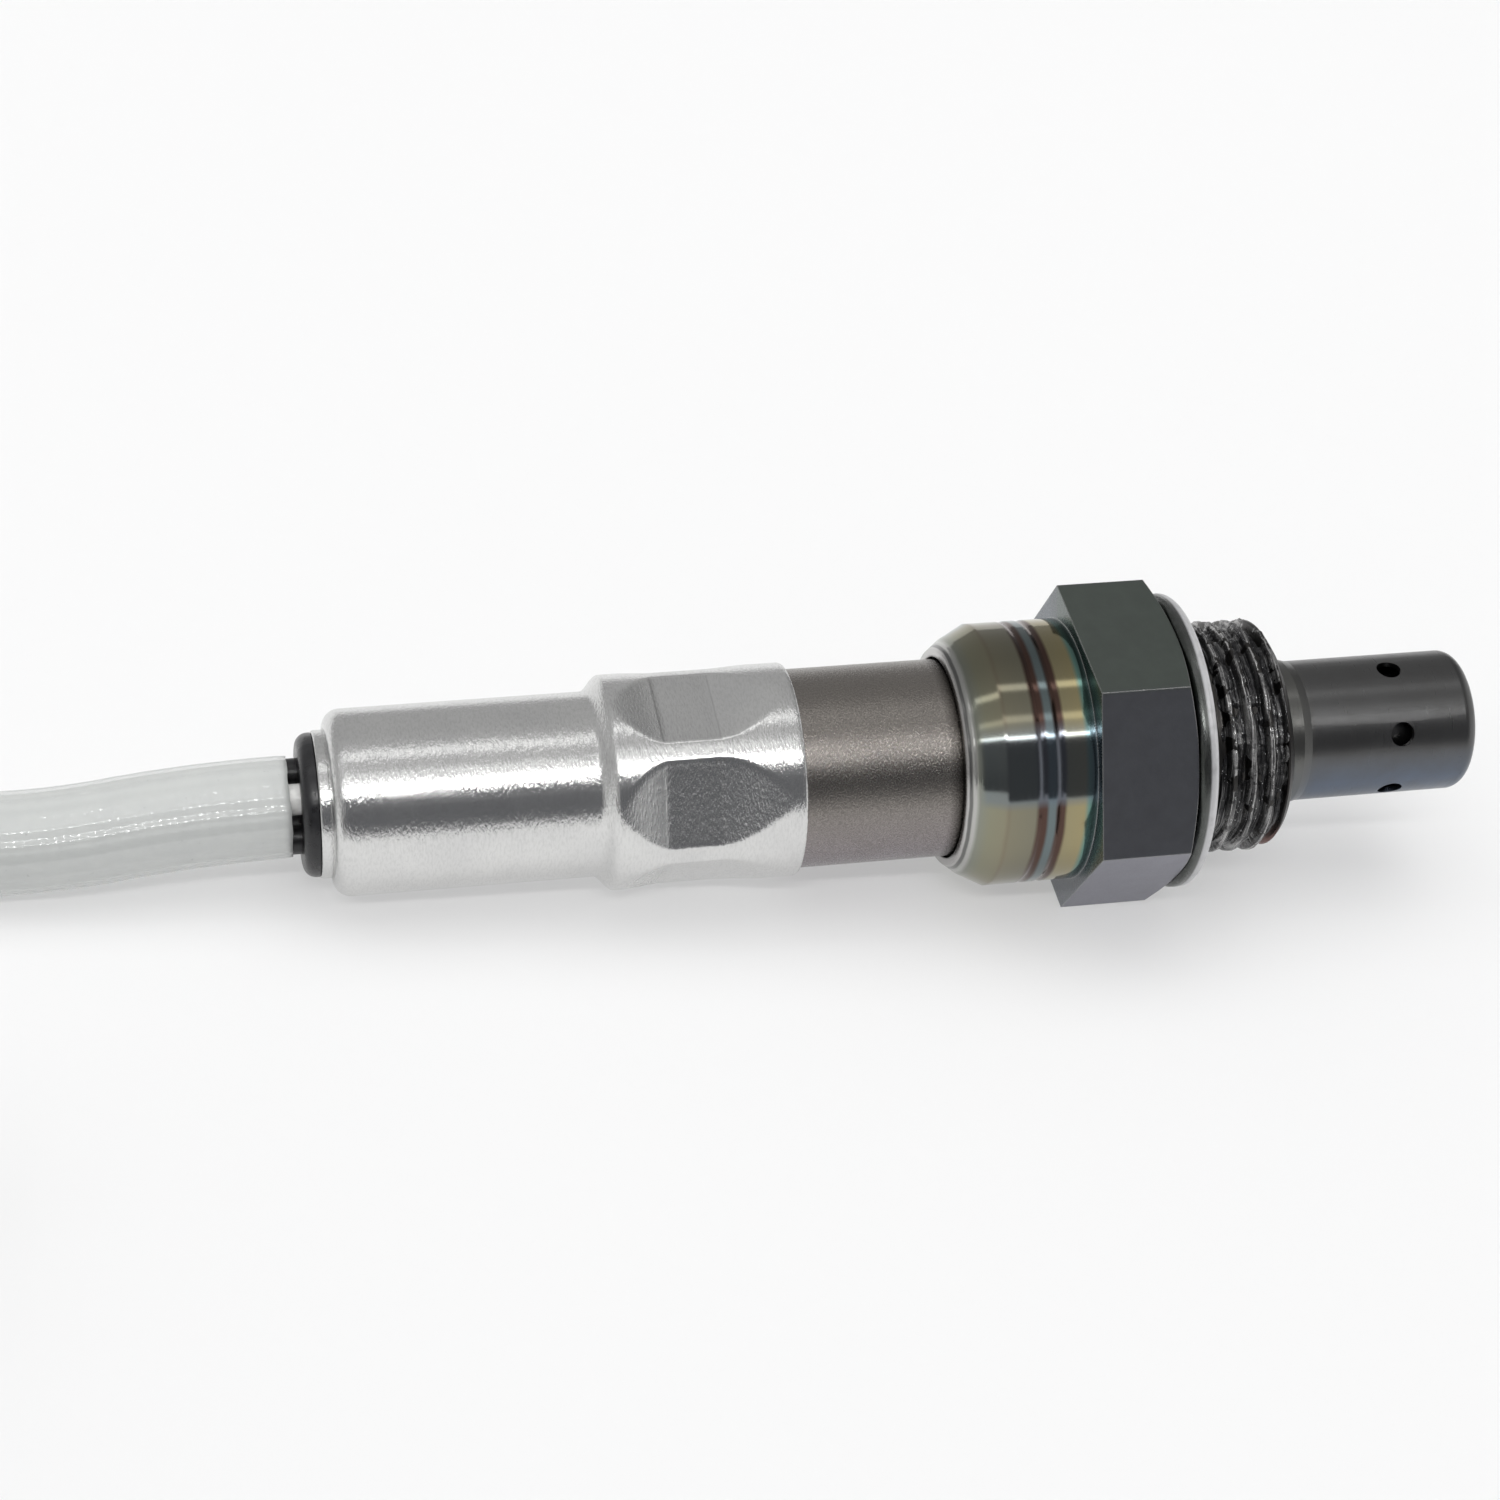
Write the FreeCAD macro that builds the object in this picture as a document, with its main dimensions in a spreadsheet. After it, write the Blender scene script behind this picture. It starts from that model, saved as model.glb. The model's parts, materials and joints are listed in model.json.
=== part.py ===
import FreeCAD, Part
import math
import os

import PartDesign
import Sketcher

# Oxygen sensor, in millimetres, lying as it rests on a flat surface.
# Each piece is drawn with the sensor's axis along X: zero is the gasket seat of the hexagon,
# the sensing tip is at plus X and the lead leaves at minus X. The placements then tilt the
# whole sensor on to the hexagon's lower flat and the tail shoulder. In the shared frame Z is up
# and the origin is under the middle of the sensor, on the surface.

SIZES = {
    # steel shell with the hexagon and the mounting thread
    "hex_across_flats": 22.0,
    "hex_height": 7.5,
    "hex_chamfer_depth": 0.65,
    "undercut_radius": 7.85,
    "undercut_length": 2.4,
    "thread_radius": 8.95,
    "thread_runout": 0.6,
    "thread_end": 8.5,
    "thread_chamfer": 0.9,
    "collar_radius": 10.05,
    "collar_length": 6.9,
    "collar_groove_depth": 0.14,
    "collar_groove_width": 0.7,
    "collar_groove_first": 2.8,
    "collar_groove_second": 4.2,
    "curl_length": 2.75,
    "curl_nose_radius": 8.3,
    "curl_shoulder_radius": 9.1,
    "curl_shoulder_length": 1.0,
    "curl_wall": 1.5,
    "curl_gap": 0.2,
    "tip_bore_radius": 5.75,
    "tip_bore_depth": 5.7,
    "neck_bore_radius": 5.0,
    "stack_seat": 3.0,
    "stack_bore_radius": 6.9,
    # crush gasket, a folded sheet ring
    "gasket_radius": 11.4,
    "gasket_thickness": 1.5,
    "gasket_sheet": 0.45,
    "gasket_grip": 0.15,
    "gasket_bend": 0.5,
    # perforated protectors round the sensing tip
    "protector_radius": 5.45,
    "protector_sheet": 0.4,
    "protector_end": 24.8,
    "protector_end_bend": 1.1,
    "protector_base_radius": 5.65,
    "protector_base_start": 4.2,
    "protector_base_end": 10.4,
    "protector_base_ramp": 0.7,
    "protector_hole_radius": 0.95,
    "protector_hole_place": 18.45,
    "protector_vent_radius": 0.8,
    "inner_protector_radius": 3.9,
    "inner_protector_sheet": 0.3,
    "inner_protector_end": 21.6,
    "inner_protector_bend": 0.8,
    "inner_protector_hole_radius": 0.6,
    "inner_protector_hole_place": 13.2,
    "inner_base_length": 3.2,
    "inner_base_ramp": 1.6,
    # ceramic sensing strip
    "element_width": 3.6,
    "element_thickness": 1.3,
    "element_tip": 19.8,
    "element_tail": 41.5,
    "element_heater_chamfer": 0.3,
    # cup, ceramics and packing in the shell
    "cup_sheet": 0.3,
    "cup_length": 6.4,
    "cup_mouth_radius": 4.4,
    "holder_length": 3.0,
    "talc_length": 3.0,
    "guide_radius": 5.4,
    "guide_end": 22.0,
    "guide_packing_length": 0.8,
    "crimp_packing_width": 0.5,
    # inner tube between the shell and the outer sleeve
    "tube_radius": 7.55,
    "tube_wall": 0.4,
    "tube_foot_radius": 8.1,
    "tube_foot_depth": 2.1,
    "tube_foot_hole_radius": 5.7,
    "tube_shoulder_gap": 0.9,
    "tube_neck_ramp": 1.2,
    "tube_end": 42.0,
    # crimped outer sleeve
    "sleeve_start": 29.1,
    "sleeve_large_radius": 8.1,
    "sleeve_step_start": 43.2,
    "sleeve_step_length": 1.2,
    "sleeve_small_radius": 6.95,
    "sleeve_small_end": 62.4,
    "sleeve_shoulder_bend": 1.3,
    "sleeve_lip_radius": 5.5,
    "sleeve_lip_length": 0.9,
    "sleeve_wall": 0.45,
    "crimp_place": 37.4,
    "crimp_flat_distance": 7.37,
    "crimp_jaw_half_length": 2.15,
    "crimp_jaw_depth": 0.08,
    "crimp_front_reach": 6.9,
    "crimp_rear_reach": 5.4,
    "sleeve_mouth_bend": 0.2,
    # separators, contacts and wires
    "separator_radius": 6.0,
    "front_separator_start": 24.2,
    "front_separator_end": 35.6,
    "rear_separator_start": 36.2,
    "rear_separator_end": 48.2,
    "slot_gap": 0.1,
    "contact_width": 1.2,
    "contact_sheet": 0.25,
    "contact_side": 1.1,
    "contact_start": 26.0,
    "contact_lead_in": 1.0,
    "contact_lead_rise": 0.08,
    "barrel_start": 44.0,
    "barrel_length": 3.4,
    "barrel_wall": 0.25,
    "clip_start": 45.6,
    "clip_end": 47.8,
    "clip_slot_width": 3.0,
    "wire_radius": 1.15,
    "wire_pitch_radius": 2.45,
    # rubber grommet
    "grommet_start": 52.5,
    "grommet_face_radius": 5.35,
    "grommet_face_thickness": 1.15,
    "grommet_face_bend": 0.95,
    "grommet_rib_depth": 0.25,
    "grommet_rib_length": 1.6,
    # lead
    "lead_start": 66.1,
    "lead_radius": 3.8,
    "wire_tail_length": 9.0,
    # plug at the far end of the lead
    "plug_width": 16.0,
    "plug_height": 15.0,
    "plug_rear_step": 1.0,
    "plug_rear_length": 12.6,
    "plug_shroud_length": 17.0,
    "plug_shroud_wall": 1.5,
    "plug_tower_side": 9.0,
    "plug_tower_setback": 2.6,
    "plug_corner_radius": 2.0,
    "plug_cavity_side": 2.5,
    "plug_pocket_depth": 6.0,
    "plug_pocket_side": 9.6,
    "plug_cap_length": 3.4,
    "plug_ring_length": 3.6,
    "plug_ring_thickness": 1.2,
    "plug_plate_thickness": 1.4,
    "plug_plate_slot": 1.5,
    "plug_lever_width": 6.0,
    "plug_lever_length": 17.0,
    "plug_lever_sheet": 1.3,
    "plug_lever_gap": 1.3,
    "plug_lever_foot": 2.6,
    "plug_catch_height": 0.9,
    "plug_catch_length": 2.0,
    "plug_contact_length": 15.0,
    "plug_contact_sheet": 0.3,
    "fit_gap": 0.05,
    "cut_overrun": 1.0,
}

# Turns about the sensor's axis, in degrees, seen from the tail.
INNER_TURN = -8.9
HOLE_TURN = -2.5
CRIMP_TURN = 4.1

# Middle line of the lead after its first straight run, in the shared frame. It comes down to the
# surface, runs on behind the tail, turns back in one open bend and rises into the plug.
LEAD_ROUTE = [
    (-65.0, -0.8, 4.0),
    (-79.0, 0.2, 3.8),
    (-98.5, 3.8, 3.8),
    (-119.0, 7.0, 3.8),
    (-139.0, 7.0, 3.8),
    (-155.0, 4.5, 3.8),
    (-169.0, -3.0, 3.8),
    (-177.5, -16.0, 3.8),
    (-178.5, -31.5, 3.8),
    (-172.0, -45.5, 3.8),
    (-159.5, -54.5, 3.8),
    (-145.5, -57.0, 4.5),
    (-134.5, -55.0, 6.2),
    (-124.5, -51.5, 7.5),
    (-117.0, -48.5, 7.5),
]
LEAD_FIRST_RUN = 7.0
PROTECTOR_HOLES = 6
INNER_PROTECTOR_HOLES = 4
CRIMP_FLATS = 6
WIRE_COUNT = 4
ARC_SHARE = 0.45
PARTS_DIR = "parts"
ALONG_X = FreeCAD.Rotation(FreeCAD.Vector(0, 0, 1), FreeCAD.Vector(1, 0, 0))

doc = FreeCAD.newDocument("oxygen_sensor")
sheet = doc.addObject("Spreadsheet::Sheet", "Sizes")


class Size:
    """A length that carries its value and the sheet formula that gives it."""

    def __init__(self, value, formula):
        self.value = value
        self.formula = formula

    def __add__(self, other):
        return joined(self, "+", other, self.value + plain(other))

    def __radd__(self, other):
        return joined(other, "+", self, plain(other) + self.value)

    def __sub__(self, other):
        return joined(self, "-", other, self.value - plain(other))

    def __rsub__(self, other):
        return joined(other, "-", self, plain(other) - self.value)

    def __mul__(self, other):
        return joined(self, "*", other, self.value * plain(other))

    def __rmul__(self, other):
        return joined(other, "*", self, plain(other) * self.value)

    def __truediv__(self, other):
        return joined(self, "/", other, self.value / plain(other))

    def __neg__(self):
        return Size(-self.value, f"(-1 * {self.formula})")


def plain(item):
    """Value of a size or number. None is a coordinate left free, which starts at zero."""
    return item.value if isinstance(item, Size) else float(item or 0)


def formula(item):
    return item.formula if isinstance(item, Size) else repr(float(item))


def joined(left, sign, right, value):
    return Size(value, f"({formula(left)} {sign} {formula(right)})")


def leg(long_side, short_side):
    """Third side of a right triangle."""
    value = math.sqrt(long_side.value ** 2 - short_side.value ** 2)
    first = long_side.formula
    second = short_side.formula
    return Size(value, f"sqrt({first} * {first} - {second} * {second})")


class SizeTable:
    """Every named dimension of the sheet, as a Size."""


def fill_sheet():
    table = SizeTable()
    for row, (alias, value) in enumerate(SIZES.items(), 1):
        cell = f"A{row}"
        sheet.set(cell, str(value))
        sheet.setAlias(cell, alias)
        setattr(table, alias, Size(value, f"Sizes.{alias}"))
    doc.recompute()
    return table


d = fill_sheet()

# Sizes that several pieces share.
hex_corner_radius = d.hex_across_flats / math.sqrt(3)
collar_end = d.hex_height + d.collar_length
shell_end = collar_end + d.curl_length
curl_inside = shell_end - d.curl_wall
foot_seat = curl_inside - d.tube_foot_depth
protector_base_inner = d.protector_base_radius - d.protector_sheet
inner_base_end = d.protector_base_start + d.protector_sheet + d.inner_base_length
sleeve_end = d.sleeve_small_end + d.sleeve_shoulder_bend + d.sleeve_lip_length
sleeve_small_bore = d.sleeve_small_radius - d.sleeve_wall
tube_neck_radius = d.crimp_flat_distance - d.sleeve_wall - d.fit_gap
wire_offset = d.wire_pitch_radius / math.sqrt(2)
barrel_radius = d.wire_radius + d.fit_gap + d.barrel_wall
plug_front = d.plug_cap_length + d.plug_rear_length + d.plug_shroud_length
plug_wire_end = d.plug_cap_length + d.plug_pocket_depth + d.fit_gap
tilt = math.degrees(math.atan2(
    SIZES["hex_across_flats"] / 2 - SIZES["sleeve_small_radius"],
    SIZES["sleeve_small_end"] - SIZES["hex_height"],
))


def new_body(label):
    body = doc.addObject("PartDesign::Body", label)
    body.Label = label
    return body


def origin_part(body, role):
    return next(item for item in body.Origin.OriginFeatures if item.Role == role)


def new_sketch(body, role, name, offset=None):
    """Sketch on one of the body's own planes, moved along its normal by offset."""
    sketch = body.newObject("Sketcher::SketchObject", name)
    sketch.AttachmentSupport = (origin_part(body, role), [""])
    sketch.MapMode = "FlatFace"
    if offset is not None:
        sketch.AttachmentOffset = FreeCAD.Placement(
            FreeCAD.Vector(0, 0, offset.value), FreeCAD.Rotation()
        )
        sketch.setExpression("AttachmentOffset.Base.z", offset.formula)
    return sketch


def hold(sketch, kind, coordinate, curve, end):
    """Tie one coordinate of a point to the sheet, or to the axis where it is zero.

    A bare number is only where the point starts: an arc beside it settles its place.
    """
    if isinstance(coordinate, Size):
        number = sketch.addConstraint(
            Sketcher.Constraint(kind, -1, 1, curve, end, coordinate.value)
        )
        sketch.setExpression(f"Constraints[{number}]", coordinate.formula)
    elif coordinate == 0:
        axis = -2 if kind == "DistanceX" else -1
        sketch.addConstraint(Sketcher.Constraint("PointOnObject", curve, end, axis))


def draw_outline(sketch, points, arcs=None):
    """Closed outline through points. arcs gives the centre of each side that is round."""
    arcs = arcs or {}
    first = sketch.GeometryCount
    count = len(points)
    spots = [FreeCAD.Vector(plain(x), plain(y), 0) for x, y in points]
    ends = []
    for side in range(count):
        start = spots[side]
        stop = spots[(side + 1) % count]
        if side in arcs:
            centre = FreeCAD.Vector(plain(arcs[side][0]), plain(arcs[side][1]), 0)
            middle = (start + stop) * 0.5 - centre
            middle = centre + middle.normalize() * (start - centre).Length
            curve = sketch.addGeometry(Part.Arc(start, middle, stop), False)
        else:
            curve = sketch.addGeometry(Part.LineSegment(start, stop), False)
        forward = (sketch.getPoint(curve, 1) - start).Length < (
            sketch.getPoint(curve, 2) - start
        ).Length
        ends.append((1, 2) if forward else (2, 1))
    for side in range(count):
        after = (side + 1) % count
        sketch.addConstraint(Sketcher.Constraint(
            "Coincident", first + side, ends[side][1], first + after, ends[after][0]
        ))
    for side, (x, y) in enumerate(points):
        hold(sketch, "DistanceX", x, first + side, ends[side][0])
        hold(sketch, "DistanceY", y, first + side, ends[side][0])
        if side in arcs:
            hold(sketch, "DistanceX", arcs[side][0], first + side, 3)
            hold(sketch, "DistanceY", arcs[side][1], first + side, 3)


def draw_circle(sketch, x, y, radius):
    spot = FreeCAD.Vector(plain(x), plain(y), 0)
    curve = sketch.addGeometry(
        Part.Circle(spot, FreeCAD.Vector(0, 0, 1), radius.value), False
    )
    hold(sketch, "DistanceX", x, curve, 3)
    hold(sketch, "DistanceY", y, curve, 3)
    number = sketch.addConstraint(Sketcher.Constraint("Radius", curve, radius.value))
    sketch.setExpression(f"Constraints[{number}]", radius.formula)


def draw_box(sketch, width, height, x=0, y=0):
    """Rectangle of the given size about (x, y)."""
    left = x - width / 2
    right = x + width / 2
    low = y - height / 2
    high = y + height / 2
    draw_outline(sketch, [(left, low), (right, low), (right, high), (left, high)])


def turned(body, name, points, arcs=None, cut=False):
    """Turn an outline of (along, radius) points about the sensor's axis."""
    sketch = new_sketch(body, "XZ_Plane", f"{name}_outline")
    draw_outline(sketch, points, arcs)
    kind = "PartDesign::Groove" if cut else "PartDesign::Revolution"
    feature = body.newObject(kind, name)
    feature.Profile = sketch
    feature.ReferenceAxis = (sketch, ["H_Axis"])
    feature.Angle = 360.0
    doc.recompute()
    return feature


def bind(feature, name, size):
    setattr(feature, name, size.value)
    feature.setExpression(name, size.formula)


def padded(body, name, sketch, length, reversed_side=False, midplane=False):
    feature = body.newObject("PartDesign::Pad", name)
    feature.Profile = sketch
    bind(feature, "Length", length)
    feature.Reversed = reversed_side
    feature.Midplane = midplane
    doc.recompute()
    return feature


def pocketed(body, name, sketch, length=None, reversed_side=False, midplane=False):
    """Cut a sketch out of the body, right through where no length is given."""
    before = body.Shape.Volume
    feature = body.newObject("PartDesign::Pocket", name)
    feature.Profile = sketch
    if length is None:
        feature.Type = "ThroughAll"
    else:
        bind(feature, "Length", length)
    feature.Reversed = reversed_side
    feature.Midplane = midplane
    doc.recompute()
    if not feature.Shape.Volume < before - 1e-6:
        raise RuntimeError(f"{body.Label}: {name} cuts nothing")
    return feature


def patterned(body, name, feature, copies):
    """Repeat a feature evenly round the sensor's axis."""
    pattern = body.newObject("PartDesign::PolarPattern", name)
    pattern.Originals = [feature]
    pattern.Axis = (origin_part(body, "X_Axis"), [""])
    pattern.Angle = 360.0
    pattern.Occurrences = copies
    body.Tip = pattern
    doc.recompute()
    return pattern


def rings(feature, spots):
    """Names of the round edges at the given places along and distances from the axis."""
    names = []
    for number, edge in enumerate(feature.Shape.Edges, 1):
        if not isinstance(edge.Curve, Part.Circle):
            continue
        for along, radius in spots:
            near = abs(edge.Curve.Radius - plain(radius)) < 1e-4
            if near and abs(edge.Curve.Center.x - plain(along)) < 1e-4:
                names.append(f"Edge{number}")
    if len(names) < len(spots):
        raise RuntimeError(f"{feature.Name}: a round edge is missing")
    return names


def rounded(body, name, feature, spots, radius):
    fillet = body.newObject("PartDesign::Fillet", name)
    fillet.Base = (feature, rings(feature, spots))
    bind(fillet, "Radius", radius)
    doc.recompute()
    return fillet


# Steel shell: thread, hexagon, collar and the lip that is rolled in over the tube's foot.
def make_metal_shell():
    body = new_body("metal_shell")
    depth = d.collar_groove_depth
    half = d.collar_groove_width / 2
    first = d.hex_height + d.collar_groove_first
    second = d.hex_height + d.collar_groove_second
    mouth = d.tube_radius + d.curl_gap
    turned(body, "shell_turned", [
        (-shell_end, mouth),
        (-shell_end, d.curl_nose_radius),
        (-(shell_end - d.curl_shoulder_length), d.curl_shoulder_radius),
        (-collar_end, d.collar_radius),
        (-(second + half), d.collar_radius),
        (-second, d.collar_radius - depth),
        (-(second - half), d.collar_radius),
        (-(first + half), d.collar_radius),
        (-first, d.collar_radius - depth),
        (-(first - half), d.collar_radius),
        (0, d.collar_radius),
        (0, d.undercut_radius),
        (d.undercut_length, d.undercut_radius),
        (d.undercut_length + d.thread_runout, d.thread_radius),
        (d.thread_end - d.thread_chamfer, d.thread_radius),
        (d.thread_end, d.thread_radius - d.thread_chamfer),
        (d.thread_end, d.tip_bore_radius),
        (d.thread_end - d.tip_bore_depth, d.tip_bore_radius),
        (d.thread_end - d.tip_bore_depth, d.neck_bore_radius),
        (-d.stack_seat, d.neck_bore_radius),
        (-d.stack_seat, d.stack_bore_radius),
        (-foot_seat, d.stack_bore_radius),
        (-foot_seat, d.tube_foot_radius + d.fit_gap),
        (-curl_inside, d.tube_foot_radius + d.fit_gap),
        (-curl_inside, mouth),
    ])
    sketch = new_sketch(body, "YZ_Plane", "hexagon")
    across = d.hex_across_flats / 2
    corner = hex_corner_radius
    draw_outline(sketch, [
        (corner, 0),
        (corner / 2, across),
        (-(corner / 2), across),
        (-corner, 0),
        (-(corner / 2), -across),
        (corner / 2, -across),
    ])
    before = body.Shape.Volume
    hexagon = padded(body, "hexagon_pad", sketch, d.hex_height, reversed_side=True)
    if not hexagon.Shape.Volume > before:
        raise RuntimeError("the hexagon adds nothing")
    # the bore goes through the hexagon again
    turned(body, "shell_bore", [
        (0, 0),
        (-d.hex_height, 0),
        (-d.hex_height, d.stack_bore_radius),
        (-d.stack_seat, d.stack_bore_radius),
        (-d.stack_seat, d.neck_bore_radius),
        (0, d.neck_bore_radius),
    ], cut=True)
    slope = d.hex_chamfer_depth / (hex_corner_radius - across)
    reach = hex_corner_radius + d.hex_chamfer_depth
    turned(body, "hexagon_chamfer", [
        (0, across),
        (0, reach),
        (-(slope * (reach - across)), reach),
    ], cut=True)
    return body


def make_gasket():
    body = new_body("gasket")
    sheet_size = d.gasket_sheet
    inner = d.undercut_radius + d.gasket_grip
    far_inner = d.thread_radius + d.gasket_grip
    near = d.fit_gap
    far = d.fit_gap + d.gasket_thickness
    ring = turned(body, "gasket_turned", [
        (near, inner),
        (near, d.gasket_radius),
        (far, d.gasket_radius),
        (far, far_inner),
        (far - sheet_size, far_inner),
        (far - sheet_size, d.gasket_radius - sheet_size),
        (near + sheet_size, d.gasket_radius - sheet_size),
        (near + sheet_size, inner),
    ])
    rounded(body, "gasket_rim", ring, [
        (near, d.gasket_radius),
        (far, d.gasket_radius),
    ], d.gasket_bend)
    return body


def drawn_cup(body, name, start, base_radius, base_end, ramp, radius, end, wall, vent):
    """Cup drawn from sheet: a wide base band, a ramp, a tube and a closed end with a vent."""
    return turned(body, name, [
        (start, base_radius - wall),
        (start, base_radius),
        (base_end, base_radius),
        (base_end + ramp, radius),
        (end, radius),
        (end, vent),
        (end - wall, vent),
        (end - wall, radius - wall),
        (base_end + ramp, radius - wall),
        (base_end, base_radius - wall),
    ])


def round_holes(body, name, place, radius, reach, copies):
    sketch = new_sketch(body, "XY_Plane", f"{name}_circle")
    draw_circle(sketch, place, 0, radius)
    hole = pocketed(body, name, sketch, reach, reversed_side=True)
    patterned(body, f"{name}_ring", hole, copies)


def make_outer_protector():
    body = new_body("outer_protector")
    cup = drawn_cup(
        body, "protector_cup", d.protector_base_start, d.protector_base_radius,
        d.protector_base_end, d.protector_base_ramp, d.protector_radius,
        d.protector_end, d.protector_sheet, d.protector_vent_radius,
    )
    rounded(body, "protector_end_bend_outside", cup, [
        (d.protector_end, d.protector_radius),
    ], d.protector_end_bend)
    round_holes(
        body, "protector_hole", d.protector_hole_place, d.protector_hole_radius,
        d.protector_radius + d.cut_overrun, PROTECTOR_HOLES,
    )
    return body


def make_inner_protector():
    body = new_body("inner_protector")
    wall = d.inner_protector_sheet
    base_radius = protector_base_inner - d.fit_gap
    cup = drawn_cup(
        body, "inner_cup", d.protector_base_start + d.protector_sheet, base_radius,
        inner_base_end, d.inner_base_ramp, d.inner_protector_radius,
        d.inner_protector_end, wall, d.protector_vent_radius,
    )
    rounded(body, "inner_end_bend", cup, [
        (d.inner_protector_end, d.inner_protector_radius),
    ], d.inner_protector_bend)
    round_holes(
        body, "inner_hole", d.inner_protector_hole_place, d.inner_protector_hole_radius,
        d.inner_protector_radius + d.cut_overrun, INNER_PROTECTOR_HOLES,
    )
    return body


def make_sensor_element():
    body = new_body("sensor_element")
    sketch = new_sketch(body, "XZ_Plane", "strip_side")
    half = d.element_thickness / 2
    trim = d.element_heater_chamfer
    draw_outline(sketch, [
        (-d.element_tail, -half),
        (d.element_tip - trim, -half),
        (d.element_tip, -(half - trim)),
        (d.element_tip, half - trim),
        (d.element_tip - trim, half),
        (-d.element_tail, half),
    ])
    padded(body, "strip", sketch, d.element_width, midplane=True)
    return body


def cut_strip_slot(body):
    """Slot that the ceramic strip passes through, along the axis."""
    sketch = new_sketch(body, "YZ_Plane", f"{body.Label}_slot")
    gaps = d.slot_gap * 2
    draw_box(sketch, d.element_width + gaps, d.element_thickness + gaps)
    pocketed(body, f"{body.Label}_slot_cut", sketch, midplane=True)


def make_metal_cup():
    body = new_body("metal_cup")
    radius = d.stack_bore_radius - d.fit_gap
    start = d.stack_seat
    turned(body, "cup_turned", [
        (-start, d.cup_mouth_radius),
        (-start, radius),
        (-(start + d.cup_length), radius),
        (-(start + d.cup_length), radius - d.cup_sheet),
        (-(start + d.cup_sheet), radius - d.cup_sheet),
        (-(start + d.cup_sheet), d.cup_mouth_radius),
    ])
    return body


def solid_disc(label, start, end, radius):
    """Round block between two places along the axis, counted towards the tail."""
    body = new_body(label)
    turned(body, f"{label}_turned", [
        (-start, 0),
        (-start, radius),
        (-end, radius),
        (-end, 0),
    ])
    return body


def make_ceramic_holder():
    start = d.stack_seat + d.cup_sheet
    radius = d.stack_bore_radius - d.fit_gap - d.cup_sheet - d.fit_gap
    body = solid_disc("ceramic_holder", start, start + d.holder_length, radius)
    cut_strip_slot(body)
    return body


def make_talc_seal():
    start = d.stack_seat + d.cup_sheet + d.holder_length
    radius = d.stack_bore_radius - d.fit_gap - d.cup_sheet - d.fit_gap
    body = solid_disc("talc_seal", start, start + d.talc_length, radius)
    cut_strip_slot(body)
    return body


def make_ceramic_guide():
    body = new_body("ceramic_guide")
    start = d.stack_seat + d.cup_length + d.fit_gap
    flange_end = foot_seat - d.guide_packing_length
    turned(body, "guide_turned", [
        (-start, 0),
        (-start, d.stack_bore_radius - d.fit_gap),
        (-flange_end, d.stack_bore_radius - d.fit_gap),
        (-flange_end, d.guide_radius),
        (-d.guide_end, d.guide_radius),
        (-d.guide_end, 0),
    ])
    cut_strip_slot(body)
    return body


def ring_piece(label, start, end, inner, outer):
    body = new_body(label)
    turned(body, f"{label}_turned", [
        (-start, inner),
        (-start, outer),
        (-end, outer),
        (-end, inner),
    ])
    return body


def make_guide_packing():
    return ring_piece(
        "guide_packing", foot_seat - d.guide_packing_length, foot_seat,
        d.guide_radius + d.fit_gap, d.stack_bore_radius - d.fit_gap,
    )


def make_crimp_packing():
    return ring_piece(
        "crimp_packing", foot_seat + d.tube_wall, curl_inside,
        d.tube_foot_radius - d.crimp_packing_width + d.fit_gap, d.tube_foot_radius,
    )


# Drawn tube with an open foot that the shell's lip holds, and a neck under the crimp.
def make_inner_tube():
    body = new_body("inner_tube")
    wall = d.tube_wall
    foot = foot_seat
    ramp_start = d.sleeve_start + d.tube_shoulder_gap
    ramp_end = ramp_start + d.tube_neck_ramp
    turned(body, "tube_turned", [
        (-foot, d.tube_foot_hole_radius),
        (-foot, d.tube_foot_radius),
        (-(foot + wall), d.tube_foot_radius),
        (-(foot + wall), d.tube_radius),
        (-ramp_start, d.tube_radius),
        (-ramp_end, tube_neck_radius),
        (-d.tube_end, tube_neck_radius),
        (-d.tube_end, tube_neck_radius - wall),
        (-ramp_end, tube_neck_radius - wall),
        (-ramp_start, d.tube_radius - wall),
        (-(foot + wall), d.tube_radius - wall),
        (-(foot + wall), d.tube_foot_hole_radius),
    ])
    return body


def crimp_corners(radius, distance, half_width):
    """Ends of the six flats, in order: one coordinate of each first end is left to the arc."""
    corners = []
    for number in range(CRIMP_FLATS):
        heading = math.radians((number + 0.5) * 360 / CRIMP_FLATS)
        across = math.cos(heading)
        up = math.sin(heading)
        x = distance * across + half_width * up
        y = distance * up - half_width * across
        if abs(x.value) > abs(y.value):
            corners.append((plain(x), y))
        else:
            corners.append((x, plain(y)))
        corners.append((distance * across - half_width * up, distance * up + half_width * across))
    return corners


def crimp_section(body, name, along, radius, distance):
    """Round section with six flats at the given distance from the axis."""
    half_width = leg(radius, distance)
    arcs = {side: (0, 0) for side in range(1, CRIMP_FLATS * 2, 2)}
    sketch = new_sketch(body, "YZ_Plane", name, along)
    draw_outline(sketch, crimp_corners(radius, distance, half_width), arcs)
    return sketch


def round_section(body, name, along, radius, distance):
    """Full circle in arcs that match the flats and corners of a crimped section."""
    opening = math.acos(distance.value / radius.value)
    reach = radius * math.cos(opening)
    half_width = radius * math.sin(opening)
    corners = crimp_corners(radius, reach, half_width)
    for number in range(3, CRIMP_FLATS * 2, 2):
        x, y = corners[number]
        corners[number] = (plain(x), y) if abs(x.value) > abs(y.value) else (x, plain(y))
    arcs = {side: (0, 0) for side in range(CRIMP_FLATS * 2)}
    arcs[0] = (None, 0)
    sketch = new_sketch(body, "YZ_Plane", name, along)
    draw_outline(sketch, corners, arcs)
    return sketch


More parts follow.
